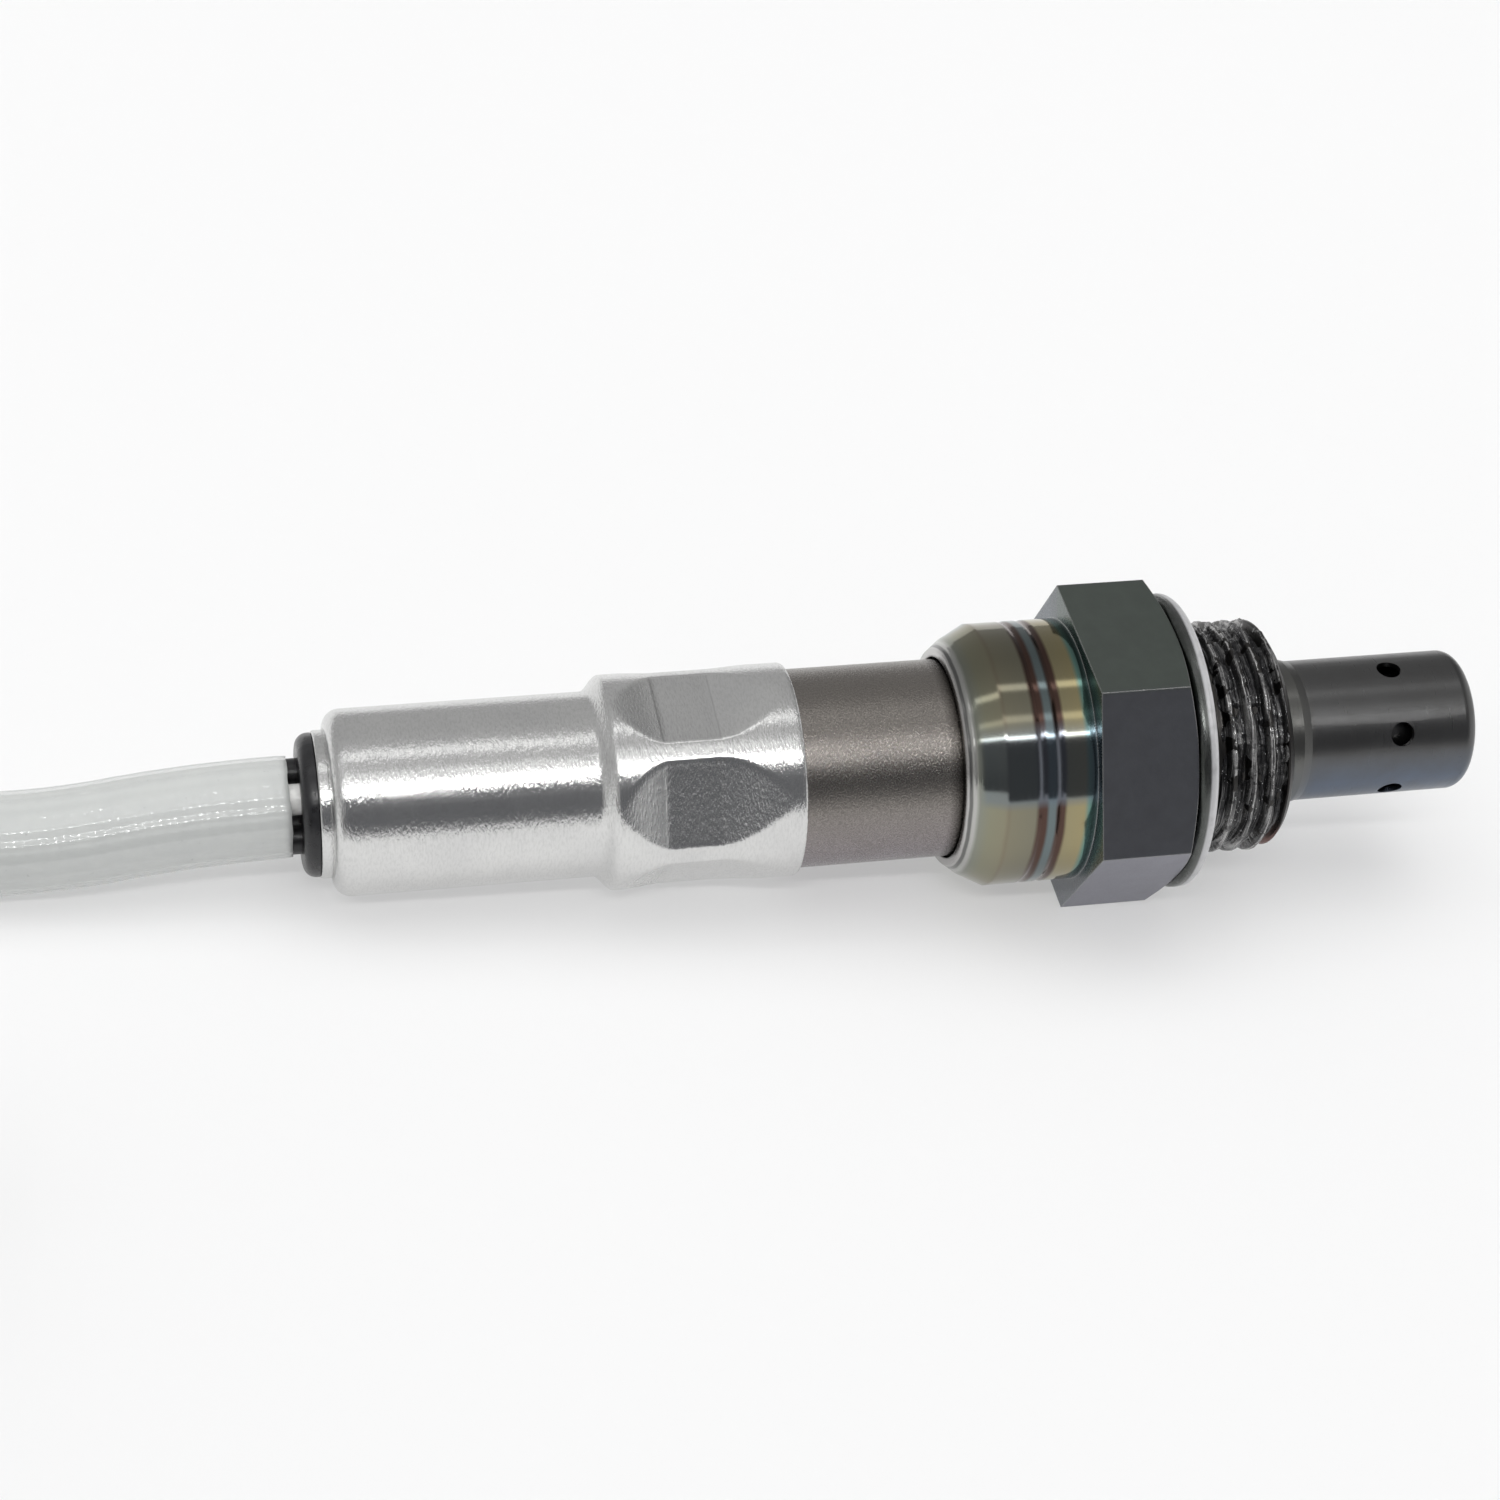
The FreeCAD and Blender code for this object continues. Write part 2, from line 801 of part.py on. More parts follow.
def blended(body, name, first, second):
    """Straight blend from one section to the next."""
    feature = body.newObject("PartDesign::AdditiveLoft", name)
    feature.Profile = first
    feature.Sections = [second]
    feature.Ruled = True
    before = body.Shape.Volume
    doc.recompute()
    if not feature.Shape.Volume > before:
        raise RuntimeError(f"{name} adds nothing")
    return feature


def sleeve_form(label, inset, jaw_depth, overrun):
    """Solid of the outer sleeve's outside, or of its bore where inset is the wall."""
    body = new_body(label)
    large = d.sleeve_large_radius - inset
    small = d.sleeve_small_radius - inset
    lip = d.sleeve_lip_radius - inset
    bend = d.sleeve_shoulder_bend - inset
    flat = d.crimp_flat_distance - inset
    mouth = -(d.sleeve_start - overrun)
    end = sleeve_end + overrun
    step_end = d.sleeve_step_start + d.sleeve_step_length
    front = -(d.crimp_place - d.crimp_front_reach)
    jaw_front = -(d.crimp_place - d.crimp_jaw_half_length)
    jaw_rear = -(d.crimp_place + d.crimp_jaw_half_length)
    rear = -(d.crimp_place + d.crimp_rear_reach)
    turned(body, f"{label}_mouth", [(mouth, 0), (mouth, large), (front, large), (front, 0)])
    blended(
        body, f"{label}_front_blend",
        round_section(body, f"{label}_front_round", front, large, flat),
        crimp_section(body, f"{label}_front_flats", jaw_front, large, flat),
    )
    jaws = crimp_section(body, f"{label}_jaw_flats", jaw_front, large, flat - jaw_depth)
    padded(body, f"{label}_jaws", jaws, d.crimp_jaw_half_length * 2, reversed_side=True)
    blended(
        body, f"{label}_rear_blend",
        crimp_section(body, f"{label}_rear_flats", jaw_rear, large, flat),
        round_section(body, f"{label}_rear_round", rear, large, flat),
    )
    turned(body, f"{label}_tail", [
        (rear, 0),
        (rear, large),
        (-d.sleeve_step_start, large),
        (-step_end, small),
        (-d.sleeve_small_end, small),
        (plain(-(d.sleeve_small_end + bend)), small - bend),
        (-(d.sleeve_small_end + bend), lip),
        (-end, lip),
        (-end, 0),
    ], arcs={4: (-d.sleeve_small_end, small - bend)})
    return body


# Drawn sleeve, crimped on to the inner tube on six sides, with a rolled lip at the tail.
def make_outer_sleeve():
    outside = sleeve_form("sleeve_outside", 0, d.crimp_jaw_depth, 0)
    rounded(outside, "mouth_edge", outside.Tip, [
        (-d.sleeve_start, d.sleeve_large_radius),
    ], d.sleeve_mouth_bend)
    inside = sleeve_form("sleeve_inside", d.sleeve_wall, 0, d.sleeve_wall)
    sleeve = doc.addObject("Part::Cut", "outer_sleeve")
    sleeve.Label = "outer_sleeve"
    sleeve.Base = outside
    sleeve.Tool = inside
    return sleeve


# Ceramic separators keep the strip and its four contacts apart.
def make_front_separator():
    body = solid_disc(
        "front_separator", d.front_separator_start, d.front_separator_end,
        d.separator_radius,
    )
    cut_contact_slot(body)
    return body


def cut_contact_slot(body):
    """Slot for the strip with a contact on each of its faces."""
    sketch = new_sketch(body, "YZ_Plane", f"{body.Label}_slot")
    width = d.element_width + d.slot_gap * 2
    height = d.element_thickness + (d.contact_sheet + d.slot_gap) * 2
    draw_box(sketch, width, height)
    pocketed(body, f"{body.Label}_slot_cut", sketch, midplane=True)


def make_rear_separator():
    body = solid_disc(
        "rear_separator", d.rear_separator_start, d.rear_separator_end,
        d.separator_radius,
    )
    cut_contact_slot(body)
    sketch = new_sketch(body, "YZ_Plane", "barrel_hole_circle", -(d.barrel_start - d.slot_gap))
    draw_circle(sketch, wire_offset, wire_offset, barrel_radius + d.slot_gap)
    depth = d.rear_separator_end - d.barrel_start + d.cut_overrun
    hole = pocketed(body, "barrel_hole", sketch, depth)
    patterned(body, "barrel_hole_ring", hole, WIRE_COUNT)
    return body


def make_contact(label, side, face):
    """Spring contact on one face of the strip, with a closed barrel for its wire."""
    body = new_body(label)
    near = d.element_thickness / 2
    far = near + d.contact_sheet
    start = d.contact_start
    back = start + d.contact_lead_in
    sketch = new_sketch(body, "XZ_Plane", f"{label}_side", d.contact_side * -side)
    draw_outline(sketch, [
        (-start, (near + d.contact_lead_rise) * face),
        (-start, (far + d.contact_lead_rise) * face),
        (-back, far * face),
        (-d.barrel_start, far * face),
        (-d.barrel_start, near * face),
        (-back, near * face),
    ])
    padded(body, f"{label}_strip", sketch, d.contact_width, midplane=True)
    sketch = new_sketch(body, "YZ_Plane", f"{label}_barrel_circle", -d.barrel_start)
    draw_circle(sketch, wire_offset * side, wire_offset * face, barrel_radius)
    padded(body, f"{label}_barrel", sketch, d.barrel_length, reversed_side=True)
    sketch = new_sketch(
        body, "YZ_Plane", f"{label}_bore_circle", -(d.barrel_start + d.barrel_wall)
    )
    draw_circle(sketch, wire_offset * side, wire_offset * face, d.wire_radius + d.fit_gap)
    pocketed(body, f"{label}_bore", sketch, d.barrel_length)
    return body


# Split spring ring that holds the rear separator in the sleeve.
def make_separator_clip():
    body = ring_piece(
        "separator_clip", d.clip_start, d.clip_end,
        d.separator_radius + d.fit_gap, sleeve_small_bore - d.fit_gap,
    )
    sketch = new_sketch(body, "XY_Plane", "clip_slot")
    draw_outline(sketch, [
        (-d.clip_start, -(d.clip_slot_width / 2)),
        (-d.clip_start, d.clip_slot_width / 2),
        (-d.clip_end, d.clip_slot_width / 2),
        (-d.clip_end, -(d.clip_slot_width / 2)),
    ])
    pocketed(body, "clip_slot_cut", sketch, d.sleeve_small_radius, reversed_side=True)
    return body


# Rubber grommet: ribbed plug in the sleeve, neck in the rolled lip, face outside it.
def make_grommet():
    body = new_body("grommet")
    radius = sleeve_small_bore - d.fit_gap
    neck = d.sleeve_lip_radius - d.sleeve_wall - d.fit_gap
    face_start = sleeve_end + d.fit_gap
    face_end = face_start + d.grommet_face_thickness
    rib = d.grommet_rib_length
    start = d.grommet_start
    form = turned(body, "grommet_turned", [
        (-start, 0),
        (-start, radius),
        (-(start + rib), radius),
        (-(start + rib), radius - d.grommet_rib_depth),
        (-(start + rib * 2), radius - d.grommet_rib_depth),
        (-(start + rib * 2), radius),
        (-(start + rib * 3), radius),
        (-(start + rib * 3), radius - d.grommet_rib_depth),
        (-(start + rib * 4), radius - d.grommet_rib_depth),
        (-(start + rib * 4), radius),
        (-d.sleeve_small_end, radius),
        (-d.sleeve_small_end, neck),
        (-face_start, neck),
        (-face_start, d.grommet_face_radius),
        (-face_end, d.grommet_face_radius),
        (-face_end, 0),
    ])
    rounded(body, "grommet_face_edge", form, [
        (-face_end, d.grommet_face_radius),
    ], d.grommet_face_bend)
    sketch = new_sketch(body, "YZ_Plane", "wire_hole_circle")
    draw_circle(sketch, wire_offset, wire_offset, d.wire_radius + d.fit_gap)
    hole = pocketed(body, "wire_hole", sketch, midplane=True)
    patterned(body, "wire_hole_ring", hole, WIRE_COUNT)
    return body


def make_lead_wire(label, side, face):
    """Insulated wire from its contact's barrel to the mouth of the woven sleeve."""
    wire = doc.addObject("Part::Cylinder", label)
    wire.Label = label
    start = d.barrel_start + d.barrel_wall + d.fit_gap
    bind(wire, "Radius", d.wire_radius)
    bind(wire, "Height", d.lead_start - start)
    spot = FreeCAD.Vector(-d.lead_start.value, side * wire_offset.value, face * wire_offset.value)
    wire.Placement = FreeCAD.Placement(spot, ALONG_X)
    return wire


def rounded_rectangle(sketch, width, height, radius):
    """Rectangle about the sketch's zero point, with round corners."""
    right = width / 2
    top = height / 2
    corner_x = right - radius
    corner_y = top - radius
    draw_outline(sketch, [
        (corner_x, -top),
        (plain(right), -corner_y),
        (right, corner_y),
        (corner_x, plain(top)),
        (-corner_x, top),
        (plain(-right), corner_y),
        (-right, -corner_y),
        (-corner_x, plain(-top)),
    ], arcs={
        0: (corner_x, -corner_y),
        2: (corner_x, corner_y),
        4: (-corner_x, corner_y),
        6: (-corner_x, -corner_y),
    })


# Plug, drawn with X along the way it mates and zero at the back of its cap.
def make_plug_cap():
    body = new_body("plug_cap")
    sketch = new_sketch(body, "YZ_Plane", "cap_outline")
    rounded_rectangle(sketch, d.plug_width, d.plug_height, d.plug_corner_radius)
    padded(body, "cap_block", sketch, d.plug_cap_length)
    cut_wire_holes(body)
    return body


def cut_wire_holes(body):
    sketch = new_sketch(body, "YZ_Plane", f"{body.Label}_wire_circles")
    for side in (-1, 1):
        for face in (-1, 1):
            draw_circle(sketch, wire_offset * side, wire_offset * face, d.wire_radius + d.fit_gap)
    pocketed(body, f"{body.Label}_wire_holes", sketch, midplane=True)


def make_plug_wire_seal():
    body = new_body("plug_wire_seal")
    side = d.plug_pocket_side - d.fit_gap * 2
    sketch = new_sketch(body, "YZ_Plane", "wire_seal_outline", d.plug_cap_length)
    rounded_rectangle(sketch, side, side, d.plug_corner_radius / 2)
    padded(body, "wire_seal_block", sketch, d.plug_pocket_depth)
    cut_wire_holes(body)
    return body


def make_plug_housing():
    body = new_body("plug_housing")
    rear = d.plug_cap_length
    front = rear + d.plug_rear_length
    sketch = new_sketch(body, "YZ_Plane", "rear_outline", rear)
    rounded_rectangle(
        sketch, d.plug_width - d.plug_rear_step * 2, d.plug_height - d.plug_rear_step * 2,
        d.plug_corner_radius,
    )
    padded(body, "rear_block", sketch, d.plug_rear_length)
    sketch = new_sketch(body, "YZ_Plane", "shroud_outline", front)
    rounded_rectangle(sketch, d.plug_width, d.plug_height, d.plug_corner_radius)
    padded(body, "shroud_block", sketch, d.plug_shroud_length)
    sketch = new_sketch(body, "YZ_Plane", "shroud_gap", plug_front)
    rounded_rectangle(
        sketch, d.plug_width - d.plug_shroud_wall * 2, d.plug_height - d.plug_shroud_wall * 2,
        d.plug_corner_radius / 2,
    )
    draw_box(sketch, d.plug_tower_side, d.plug_tower_side)
    pocketed(body, "shroud_gap_cut", sketch, d.plug_shroud_length)
    sketch = new_sketch(body, "YZ_Plane", "tower_front", plug_front)
    draw_box(sketch, d.plug_tower_side, d.plug_tower_side)
    pocketed(body, "tower_setback", sketch, d.plug_tower_setback + d.plug_plate_thickness)
    sketch = new_sketch(body, "YZ_Plane", "seal_pocket", rear)
    draw_box(sketch, d.plug_pocket_side, d.plug_pocket_side)
    pocketed(body, "seal_pocket_cut", sketch, d.plug_pocket_depth, reversed_side=True)
    sketch = new_sketch(body, "YZ_Plane", "cavities", plug_front)
    for side in (-1, 1):
        for face in (-1, 1):
            draw_box(
                sketch, d.plug_cavity_side, d.plug_cavity_side,
                wire_offset * side, wire_offset * face,
            )
    pocketed(body, "cavities_cut", sketch)
    add_plug_lever(body)
    return body


def add_plug_lever(body):
    """Lock lever on top: a foot on the rear block, a free arm and a catch under its end."""
    top = d.plug_height / 2
    under = top + d.plug_lever_gap
    over = under + d.plug_lever_sheet
    back = d.plug_cap_length + d.plug_rear_length - d.plug_lever_foot
    foot = d.plug_cap_length + d.plug_rear_length
    tip = back + d.plug_lever_length
    sketch = new_sketch(body, "XZ_Plane", "lever_side")
    draw_outline(sketch, [
        (back, top - d.plug_rear_step),
        (foot, top - d.plug_rear_step),
        (foot, under),
        (tip - d.plug_catch_length, under),
        (tip - d.plug_catch_length, under - d.plug_catch_height),
        (tip, under),
        (tip, over),
        (back, over),
    ])
    padded(body, "lever", sketch, d.plug_lever_width, midplane=True)


def make_plug_seal():
    """Seal ring round the foot of the tower."""
    body = new_body("plug_seal")
    start = plug_front - d.plug_shroud_length
    inner = d.plug_tower_side + d.fit_gap * 2
    outer = inner + d.plug_ring_thickness * 2
    sketch = new_sketch(body, "YZ_Plane", "seal_ring_outline", start)
    rounded_rectangle(sketch, outer, outer, d.plug_corner_radius / 2)
    draw_box(sketch, inner, inner)
    padded(body, "seal_ring", sketch, d.plug_ring_length)
    return body


def make_plug_lock():
    """Plate in the front of the tower that keeps the contacts locked."""
    body = new_body("plug_lock")
    start = plug_front - d.plug_tower_setback - d.plug_plate_thickness
    sketch = new_sketch(body, "YZ_Plane", "lock_outline", start)
    draw_box(sketch, d.plug_tower_side, d.plug_tower_side)
    for side in (-1, 1):
        for face in (-1, 1):
            draw_box(
                sketch, d.plug_plate_slot, d.plug_plate_slot,
                wire_offset * side, wire_offset * face,
            )
    padded(body, "lock_plate", sketch, d.plug_plate_thickness)
    return body


def make_plug_contacts():
    """Four square socket contacts, one in each cavity."""
    body = new_body("plug_contacts")
    outer = d.plug_cavity_side - d.fit_gap * 2
    inner = outer - d.plug_contact_sheet * 2
    sketch = new_sketch(body, "YZ_Plane", "contact_outlines", plug_wire_end)
    for side in (-1, 1):
        for face in (-1, 1):
            for size in (outer, inner):
                draw_box(sketch, size, size, wire_offset * side, wire_offset * face)
    padded(body, "contact_boxes", sketch, d.plug_contact_length)
    return body


def make_plug_wires():
    """The four wires between the sleeve's end and the contacts of the plug."""
    body = new_body("plug_wires")
    sketch = new_sketch(body, "YZ_Plane", "plug_wire_circles", -d.wire_tail_length)
    for side in (-1, 1):
        for face in (-1, 1):
            draw_circle(sketch, wire_offset * side, wire_offset * face, d.wire_radius)
    padded(body, "plug_wire_rods", sketch, d.wire_tail_length + plug_wire_end)
    return body


def swept_tube(points, radius):
    """Round tube along straight runs that are joined by tangent arcs."""
    edges = []
    start = points[0]
    for before, corner, after in zip(points, points[1:], points[2:]):
        arriving = corner - before
        leaving = after - corner
        half_turn = arriving.getAngle(leaving) / 2
        setback = ARC_SHARE * min(arriving.Length, leaving.Length)
        bend = setback / math.tan(half_turn)
        print(f"lead bend radius {bend:.1f} mm, turn {math.degrees(half_turn * 2):.1f} degrees")
        arriving.normalize()
        leaving.normalize()
        arc_start = corner - arriving * setback
        arc_end = corner + leaving * setback
        inward = (leaving - arriving).normalize()
        middle = corner + inward * (bend / math.cos(half_turn) - bend)
        edges.append(Part.LineSegment(start, arc_start).toShape())
        edges.append(Part.Arc(arc_start, middle, arc_end).toShape())
        start = arc_end
    edges.append(Part.LineSegment(start, points[-1]).toShape())
    path = Part.Wire(edges)
    circle = Part.Circle(points[0], points[1] - points[0], radius)
    tube = path.makePipeShell([Part.Wire([circle.toShape()])], True, False)
    expected = math.pi * radius ** 2 * path.Length
    if abs(tube.Volume / expected - 1) > 0.01:
        raise RuntimeError("the lead's volume doesn't fit its length")
    print(f"lead length {path.Length:.1f} mm")
    return tube


def make_lead(exit_point, exit_direction):
    lead = doc.addObject("Part::Feature", "cable_sleeve")
    lead.Label = "cable_sleeve"
    points = [exit_point, exit_point + exit_direction * LEAD_FIRST_RUN]
    points += [FreeCAD.Vector(*point) for point in LEAD_ROUTE]
    lead.Shape = swept_tube(points, d.lead_radius.value)
    return lead


def about_axis(degrees):
    return FreeCAD.Rotation(FreeCAD.Vector(1, 0, 0), degrees)


sensor_parts = [
    (make_metal_shell(), 0),
    (make_gasket(), 0),
    (make_outer_protector(), HOLE_TURN),
    (make_inner_protector(), INNER_TURN),
    (make_sensor_element(), INNER_TURN),
    (make_metal_cup(), 0),
    (make_ceramic_holder(), INNER_TURN),
    (make_talc_seal(), INNER_TURN),
    (make_ceramic_guide(), INNER_TURN),
    (make_guide_packing(), 0),
    (make_crimp_packing(), 0),
    (make_inner_tube(), 0),
    (make_outer_sleeve(), CRIMP_TURN),
    (make_front_separator(), INNER_TURN),
    (make_rear_separator(), INNER_TURN),
    (make_separator_clip(), INNER_TURN),
    (make_grommet(), INNER_TURN),
]
wire_spots = {
    "black_upper": (1, 1),
    "white": (-1, 1),
    "black_lower": (-1, -1),
    "grey": (1, -1),
}
for number, (side, face) in enumerate(wire_spots.values(), 1):
    sensor_parts.append((make_contact(f"contact_{number}", side, face), INNER_TURN))
lead_wires = [
    make_lead_wire(f"lead_wire_{colour}", side, face)
    for colour, (side, face) in wire_spots.items()
]
plug_parts = [
    make_plug_cap(),
    make_plug_wire_seal(),
    make_plug_housing(),
    make_plug_seal(),
    make_plug_lock(),
    make_plug_contacts(),
    make_plug_wires(),
]
doc.recompute()

# The sensor lies on the hexagon's lower flat and on the tail shoulder.
lean = FreeCAD.Rotation(FreeCAD.Vector(0, -1, 0), tilt)
for item, turn in sensor_parts:
    item.Placement = FreeCAD.Placement(FreeCAD.Vector(0, 0, 0), lean * about_axis(turn))
doc.recompute()
whole = Part.Compound([item.Shape for item, turn in sensor_parts]).optimalBoundingBox(False)
shift = FreeCAD.Vector(-(whole.XMin + whole.XMax) / 2, 0, -whole.ZMin)
for item, turn in sensor_parts:
    item.Placement = FreeCAD.Placement(shift, lean * about_axis(turn))
seat = FreeCAD.Placement(shift, lean)
for wire in lead_wires:
    inner = FreeCAD.Placement(FreeCAD.Vector(0, 0, 0), about_axis(INNER_TURN))
    wire.Placement = seat * inner * wire.Placement

exit_point = seat.multVec(FreeCAD.Vector(-SIZES["lead_start"], 0, 0))
lead = make_lead(exit_point, lean.multVec(FreeCAD.Vector(-1, 0, 0)))

# The plug follows the lead's last run.
last = FreeCAD.Vector(*LEAD_ROUTE[-1])
heading = last - FreeCAD.Vector(*LEAD_ROUTE[-2])
heading.z = 0
turn_to = FreeCAD.Rotation(FreeCAD.Vector(1, 0, 0), heading)
plug_spot = last + heading.normalize() * SIZES["wire_tail_length"]
for item in plug_parts:
    item.Placement = FreeCAD.Placement(plug_spot, turn_to)
doc.recompute()

kept = [item for item, turn in sensor_parts] + lead_wires + [lead] + plug_parts
for item in doc.Objects:
    if "Invalid" in item.State or "Error" in item.State:
        raise RuntimeError(f"{item.Label} is not built: {item.State}")
os.makedirs(PARTS_DIR, exist_ok=True)
for item in kept:
    if item.Shape.isNull() or not item.Shape.isValid():
        raise RuntimeError(f"{item.Label} has no sound shape")
    item.Shape.exportStep(f"{PARTS_DIR}/{item.Label}.step")
    print(item.Label, len(item.Shape.Solids), round(item.Shape.Volume, 1))
print("axis shift", shift, "tilt", round(tilt, 4), "exit", exit_point, "plug", plug_spot)
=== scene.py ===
import json
import math

import bpy
import numpy as np
from mathutils import Matrix, Vector, noise


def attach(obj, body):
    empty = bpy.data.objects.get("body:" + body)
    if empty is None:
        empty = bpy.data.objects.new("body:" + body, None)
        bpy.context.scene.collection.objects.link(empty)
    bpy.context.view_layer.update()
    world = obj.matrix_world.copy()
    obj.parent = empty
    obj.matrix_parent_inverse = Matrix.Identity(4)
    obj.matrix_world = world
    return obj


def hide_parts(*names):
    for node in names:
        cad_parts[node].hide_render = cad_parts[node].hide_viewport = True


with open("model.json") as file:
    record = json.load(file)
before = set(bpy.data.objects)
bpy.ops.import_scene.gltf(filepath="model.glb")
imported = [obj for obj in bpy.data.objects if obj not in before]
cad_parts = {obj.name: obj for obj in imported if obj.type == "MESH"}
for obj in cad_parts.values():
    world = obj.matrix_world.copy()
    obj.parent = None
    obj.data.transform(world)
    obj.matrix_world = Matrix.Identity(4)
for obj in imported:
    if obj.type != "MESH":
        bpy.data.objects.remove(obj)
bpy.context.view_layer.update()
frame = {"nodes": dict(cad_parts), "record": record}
nodes = frame["nodes"]

MM = 0.001

# The sensor's own axis in the row frame: zero is the gasket seat, plus X is the sensing tip.
AXIS_ZERO = Vector((20.4461, 0.0, 11.5255)) * MM
AXIS_TILT = math.radians(4.2191)
AXIS_TURN = Matrix.Rotation(-AXIS_TILT, 3, "Y")
AXIS_BACK = AXIS_TURN.transposed()

# Plug: zero is the back of its cap, X points the way it mates.
PLUG_ZERO = Vector((-108.6437, -45.1575, 7.5)) * MM
PLUG_TURN = math.atan2(3.0, 7.5)

# Thread, in millimetres along the sensor's axis and from it.
THREAD_PITCH = 1.5
THREAD_CREST = 8.95
THREAD_ROOT = 8.08
THREAD_CORE = 7.6
THREAD_FIRST = 2.4
THREAD_LAST = 8.5
THREAD_RUNOUT = 0.6
THREAD_CHAMFER = 0.6
THREAD_OVERLAP = 0.3
THREAD_ROWS = 79
THREAD_COLUMNS = 240
# Half of a crest's flat, and one flank, as shares of the pitch.
CREST_SHARE = 0.07
FLANK_SHARE = 0.28

# Paste on the thread: its ends, its film on the crests, what fills the roots, drag marks and lumps.
PASTE_FIRST = THREAD_FIRST + 0.1
PASTE_LAST = THREAD_LAST - 0.35
PASTE_FILM = 0.04
PASTE_FILL = 0.1
PASTE_FILL_DRAG = 0.28
PASTE_DRAG = 0.06
PASTE_LUMP = 0.05
PASTE_LUMP_ON_TOP = 0.2
PASTE_TAPER = 0.5
PASTE_START_TAPER = 0.4
PASTE_END_TAPER = 0.3
# Pace of the lumps and of the drag marks, along the axis and round it.
LUMP_PACE = (1.1, 9)
DRAG_PACE = (1.6, 3.2)
PASTE_ROWS = 84
PASTE_COLUMNS = 360

# Shell: its rolled lip, the back of its hexagon, the end of its thread and how its edges round.
LIP_END = -17.2
LIP_BEND = -16.7
HEXAGON_BACK = -7.5
END_FACE = 7.8
EDGE_ROUNDING = 0.35 * MM
HEXAGON_ROUNDING = 0.12 * MM

# Heat tint colours, with one painted shade line in the groove behind the rolled lip: place along the
# axis and colour.
BROWN = (0.09, 0.055, 0.045)
HEAT_TINTS_AND_GROOVE_SHADE = [
    (LIP_END, (0.50, 0.49, 0.48)),
    (-17.0, (0.50, 0.49, 0.48)),
    # painted shade: a dark line for the groove between the rolled lip and its cone
    (-16.93, (0.17, 0.17, 0.165)),
    (-16.78, (0.17, 0.17, 0.165)),
    (LIP_BEND, (0.46, 0.46, 0.44)),
    (-16.55, (0.46, 0.46, 0.44)),
    (-16.3, (0.25, 0.26, 0.22)),
    (-15.6, (0.26, 0.255, 0.185)),
    (-14.6, (0.26, 0.245, 0.175)),
    (-14.35, (0.225, 0.20, 0.145)),
    (-14.1, (0.235, 0.22, 0.16)),
    (-12.3, (0.215, 0.205, 0.155)),
    (-12.0, BROWN),
    (-11.45, BROWN),
    (-11.2, (0.15, 0.185, 0.19)),
    (-10.8, (0.15, 0.185, 0.19)),
    (-10.55, BROWN),
    (-10.05, BROWN),
    (-9.8, (0.31, 0.275, 0.165)),
    (-8.5, (0.33, 0.285, 0.16)),
    (-8.15, (0.14, 0.26, 0.225)),
    (-7.8, (0.085, 0.14, 0.13)),
    (HEXAGON_BACK, (0.07, 0.10, 0.10)),
]

# Gasket: painted shade on the dark fold, then the bright rim, along the axis.
GASKET_SHADE_AND_RIM = [
    (0.0, (0.05, 0.055, 0.05)),
    (0.6, (0.11, 0.115, 0.11)),
    (0.75, (0.13, 0.135, 0.13)),
    (0.9, (0.52, 0.52, 0.53)),
    (1.6, (0.68, 0.68, 0.69)),
]

# Tail sleeve, in millimetres along the sensor's axis and from it.
SLEEVE_MOUTH = -29.1
SLEEVE_LARGE = 8.1
SLEEVE_STEP_START = -42.95
SLEEVE_STEP = -43.2
SLEEVE_STEP_END = -44.4
SLEEVE_SMALL = 6.95
SLEEVE_SMALL_END = -62.4
SLEEVE_BEND = 1.3
SLEEVE_LIP = 5.5
SLEEVE_END = -64.6
SLEEVE_WALL = 0.45
CRIMP_FLAT = 7.37
CRIMP_START = -29.9
CRIMP_END = -42.9
JAW_START = -35.25
JAW_END = -39.55
JAW_HALF_ANGLE = math.radians(24.0)
JAW_EDGE = math.radians(2.2)
JAW_DEPTH = 0.04
JAW_HALF_WIDTH = 3.2
JAW_RIM = 0.04
RIDGE_SOFTNESS = 0.1
# Middle of the first of the six flats, and the angle from one flat to the next.
FLAT_TURN = math.radians(34.1)
SIXTH = math.pi / 3
# Mouth of the sleeve: place of each ring, and how far it lies within the outside.
MOUTH_RINGS = [
    (SLEEVE_MOUTH, SLEEVE_WALL),
    (SLEEVE_MOUTH, 0.2),
    (SLEEVE_MOUTH - 0.05, 0.06),
]
# Outside of the sleeve up to its last bend: first place, last place and how many rings.
OUTSIDE_STRETCHES = [
    (SLEEVE_MOUTH - 0.2, SLEEVE_MOUTH - 0.5, 2),
    (CRIMP_START, JAW_START + JAW_RIM, 30),
    (JAW_START - JAW_RIM, JAW_END + JAW_RIM, 12),
    (JAW_END - JAW_RIM, CRIMP_END, 22),
    (SLEEVE_STEP_START, SLEEVE_STEP_END, 14),
    (SLEEVE_STEP_END - 0.1, SLEEVE_SMALL_END, 16),
]
# The last bend, in degrees, and its rings.
BEND_TURNS = (8.0, 90.0, 12)
# Rolled lip: place and radius of each ring, from the outside to the inside.
NECK = SLEEVE_SMALL_END - SLEEVE_BEND
LIP_RINGS = [
    (NECK + 0.12, SLEEVE_LIP + 0.04),
    (NECK + 0.08, SLEEVE_LIP - 0.06),
    (NECK - 0.05, SLEEVE_LIP - 0.02),
    (SLEEVE_END + 0.2, SLEEVE_LIP),
    (SLEEVE_END + 0.06, SLEEVE_LIP - 0.06),
    (SLEEVE_END, SLEEVE_LIP - 0.2),
    (SLEEVE_END, SLEEVE_LIP - SLEEVE_WALL),
    (NECK + SLEEVE_WALL, SLEEVE_LIP - SLEEVE_WALL),
    (NECK + SLEEVE_WALL, SLEEVE_SMALL - 2 * SLEEVE_WALL),
]
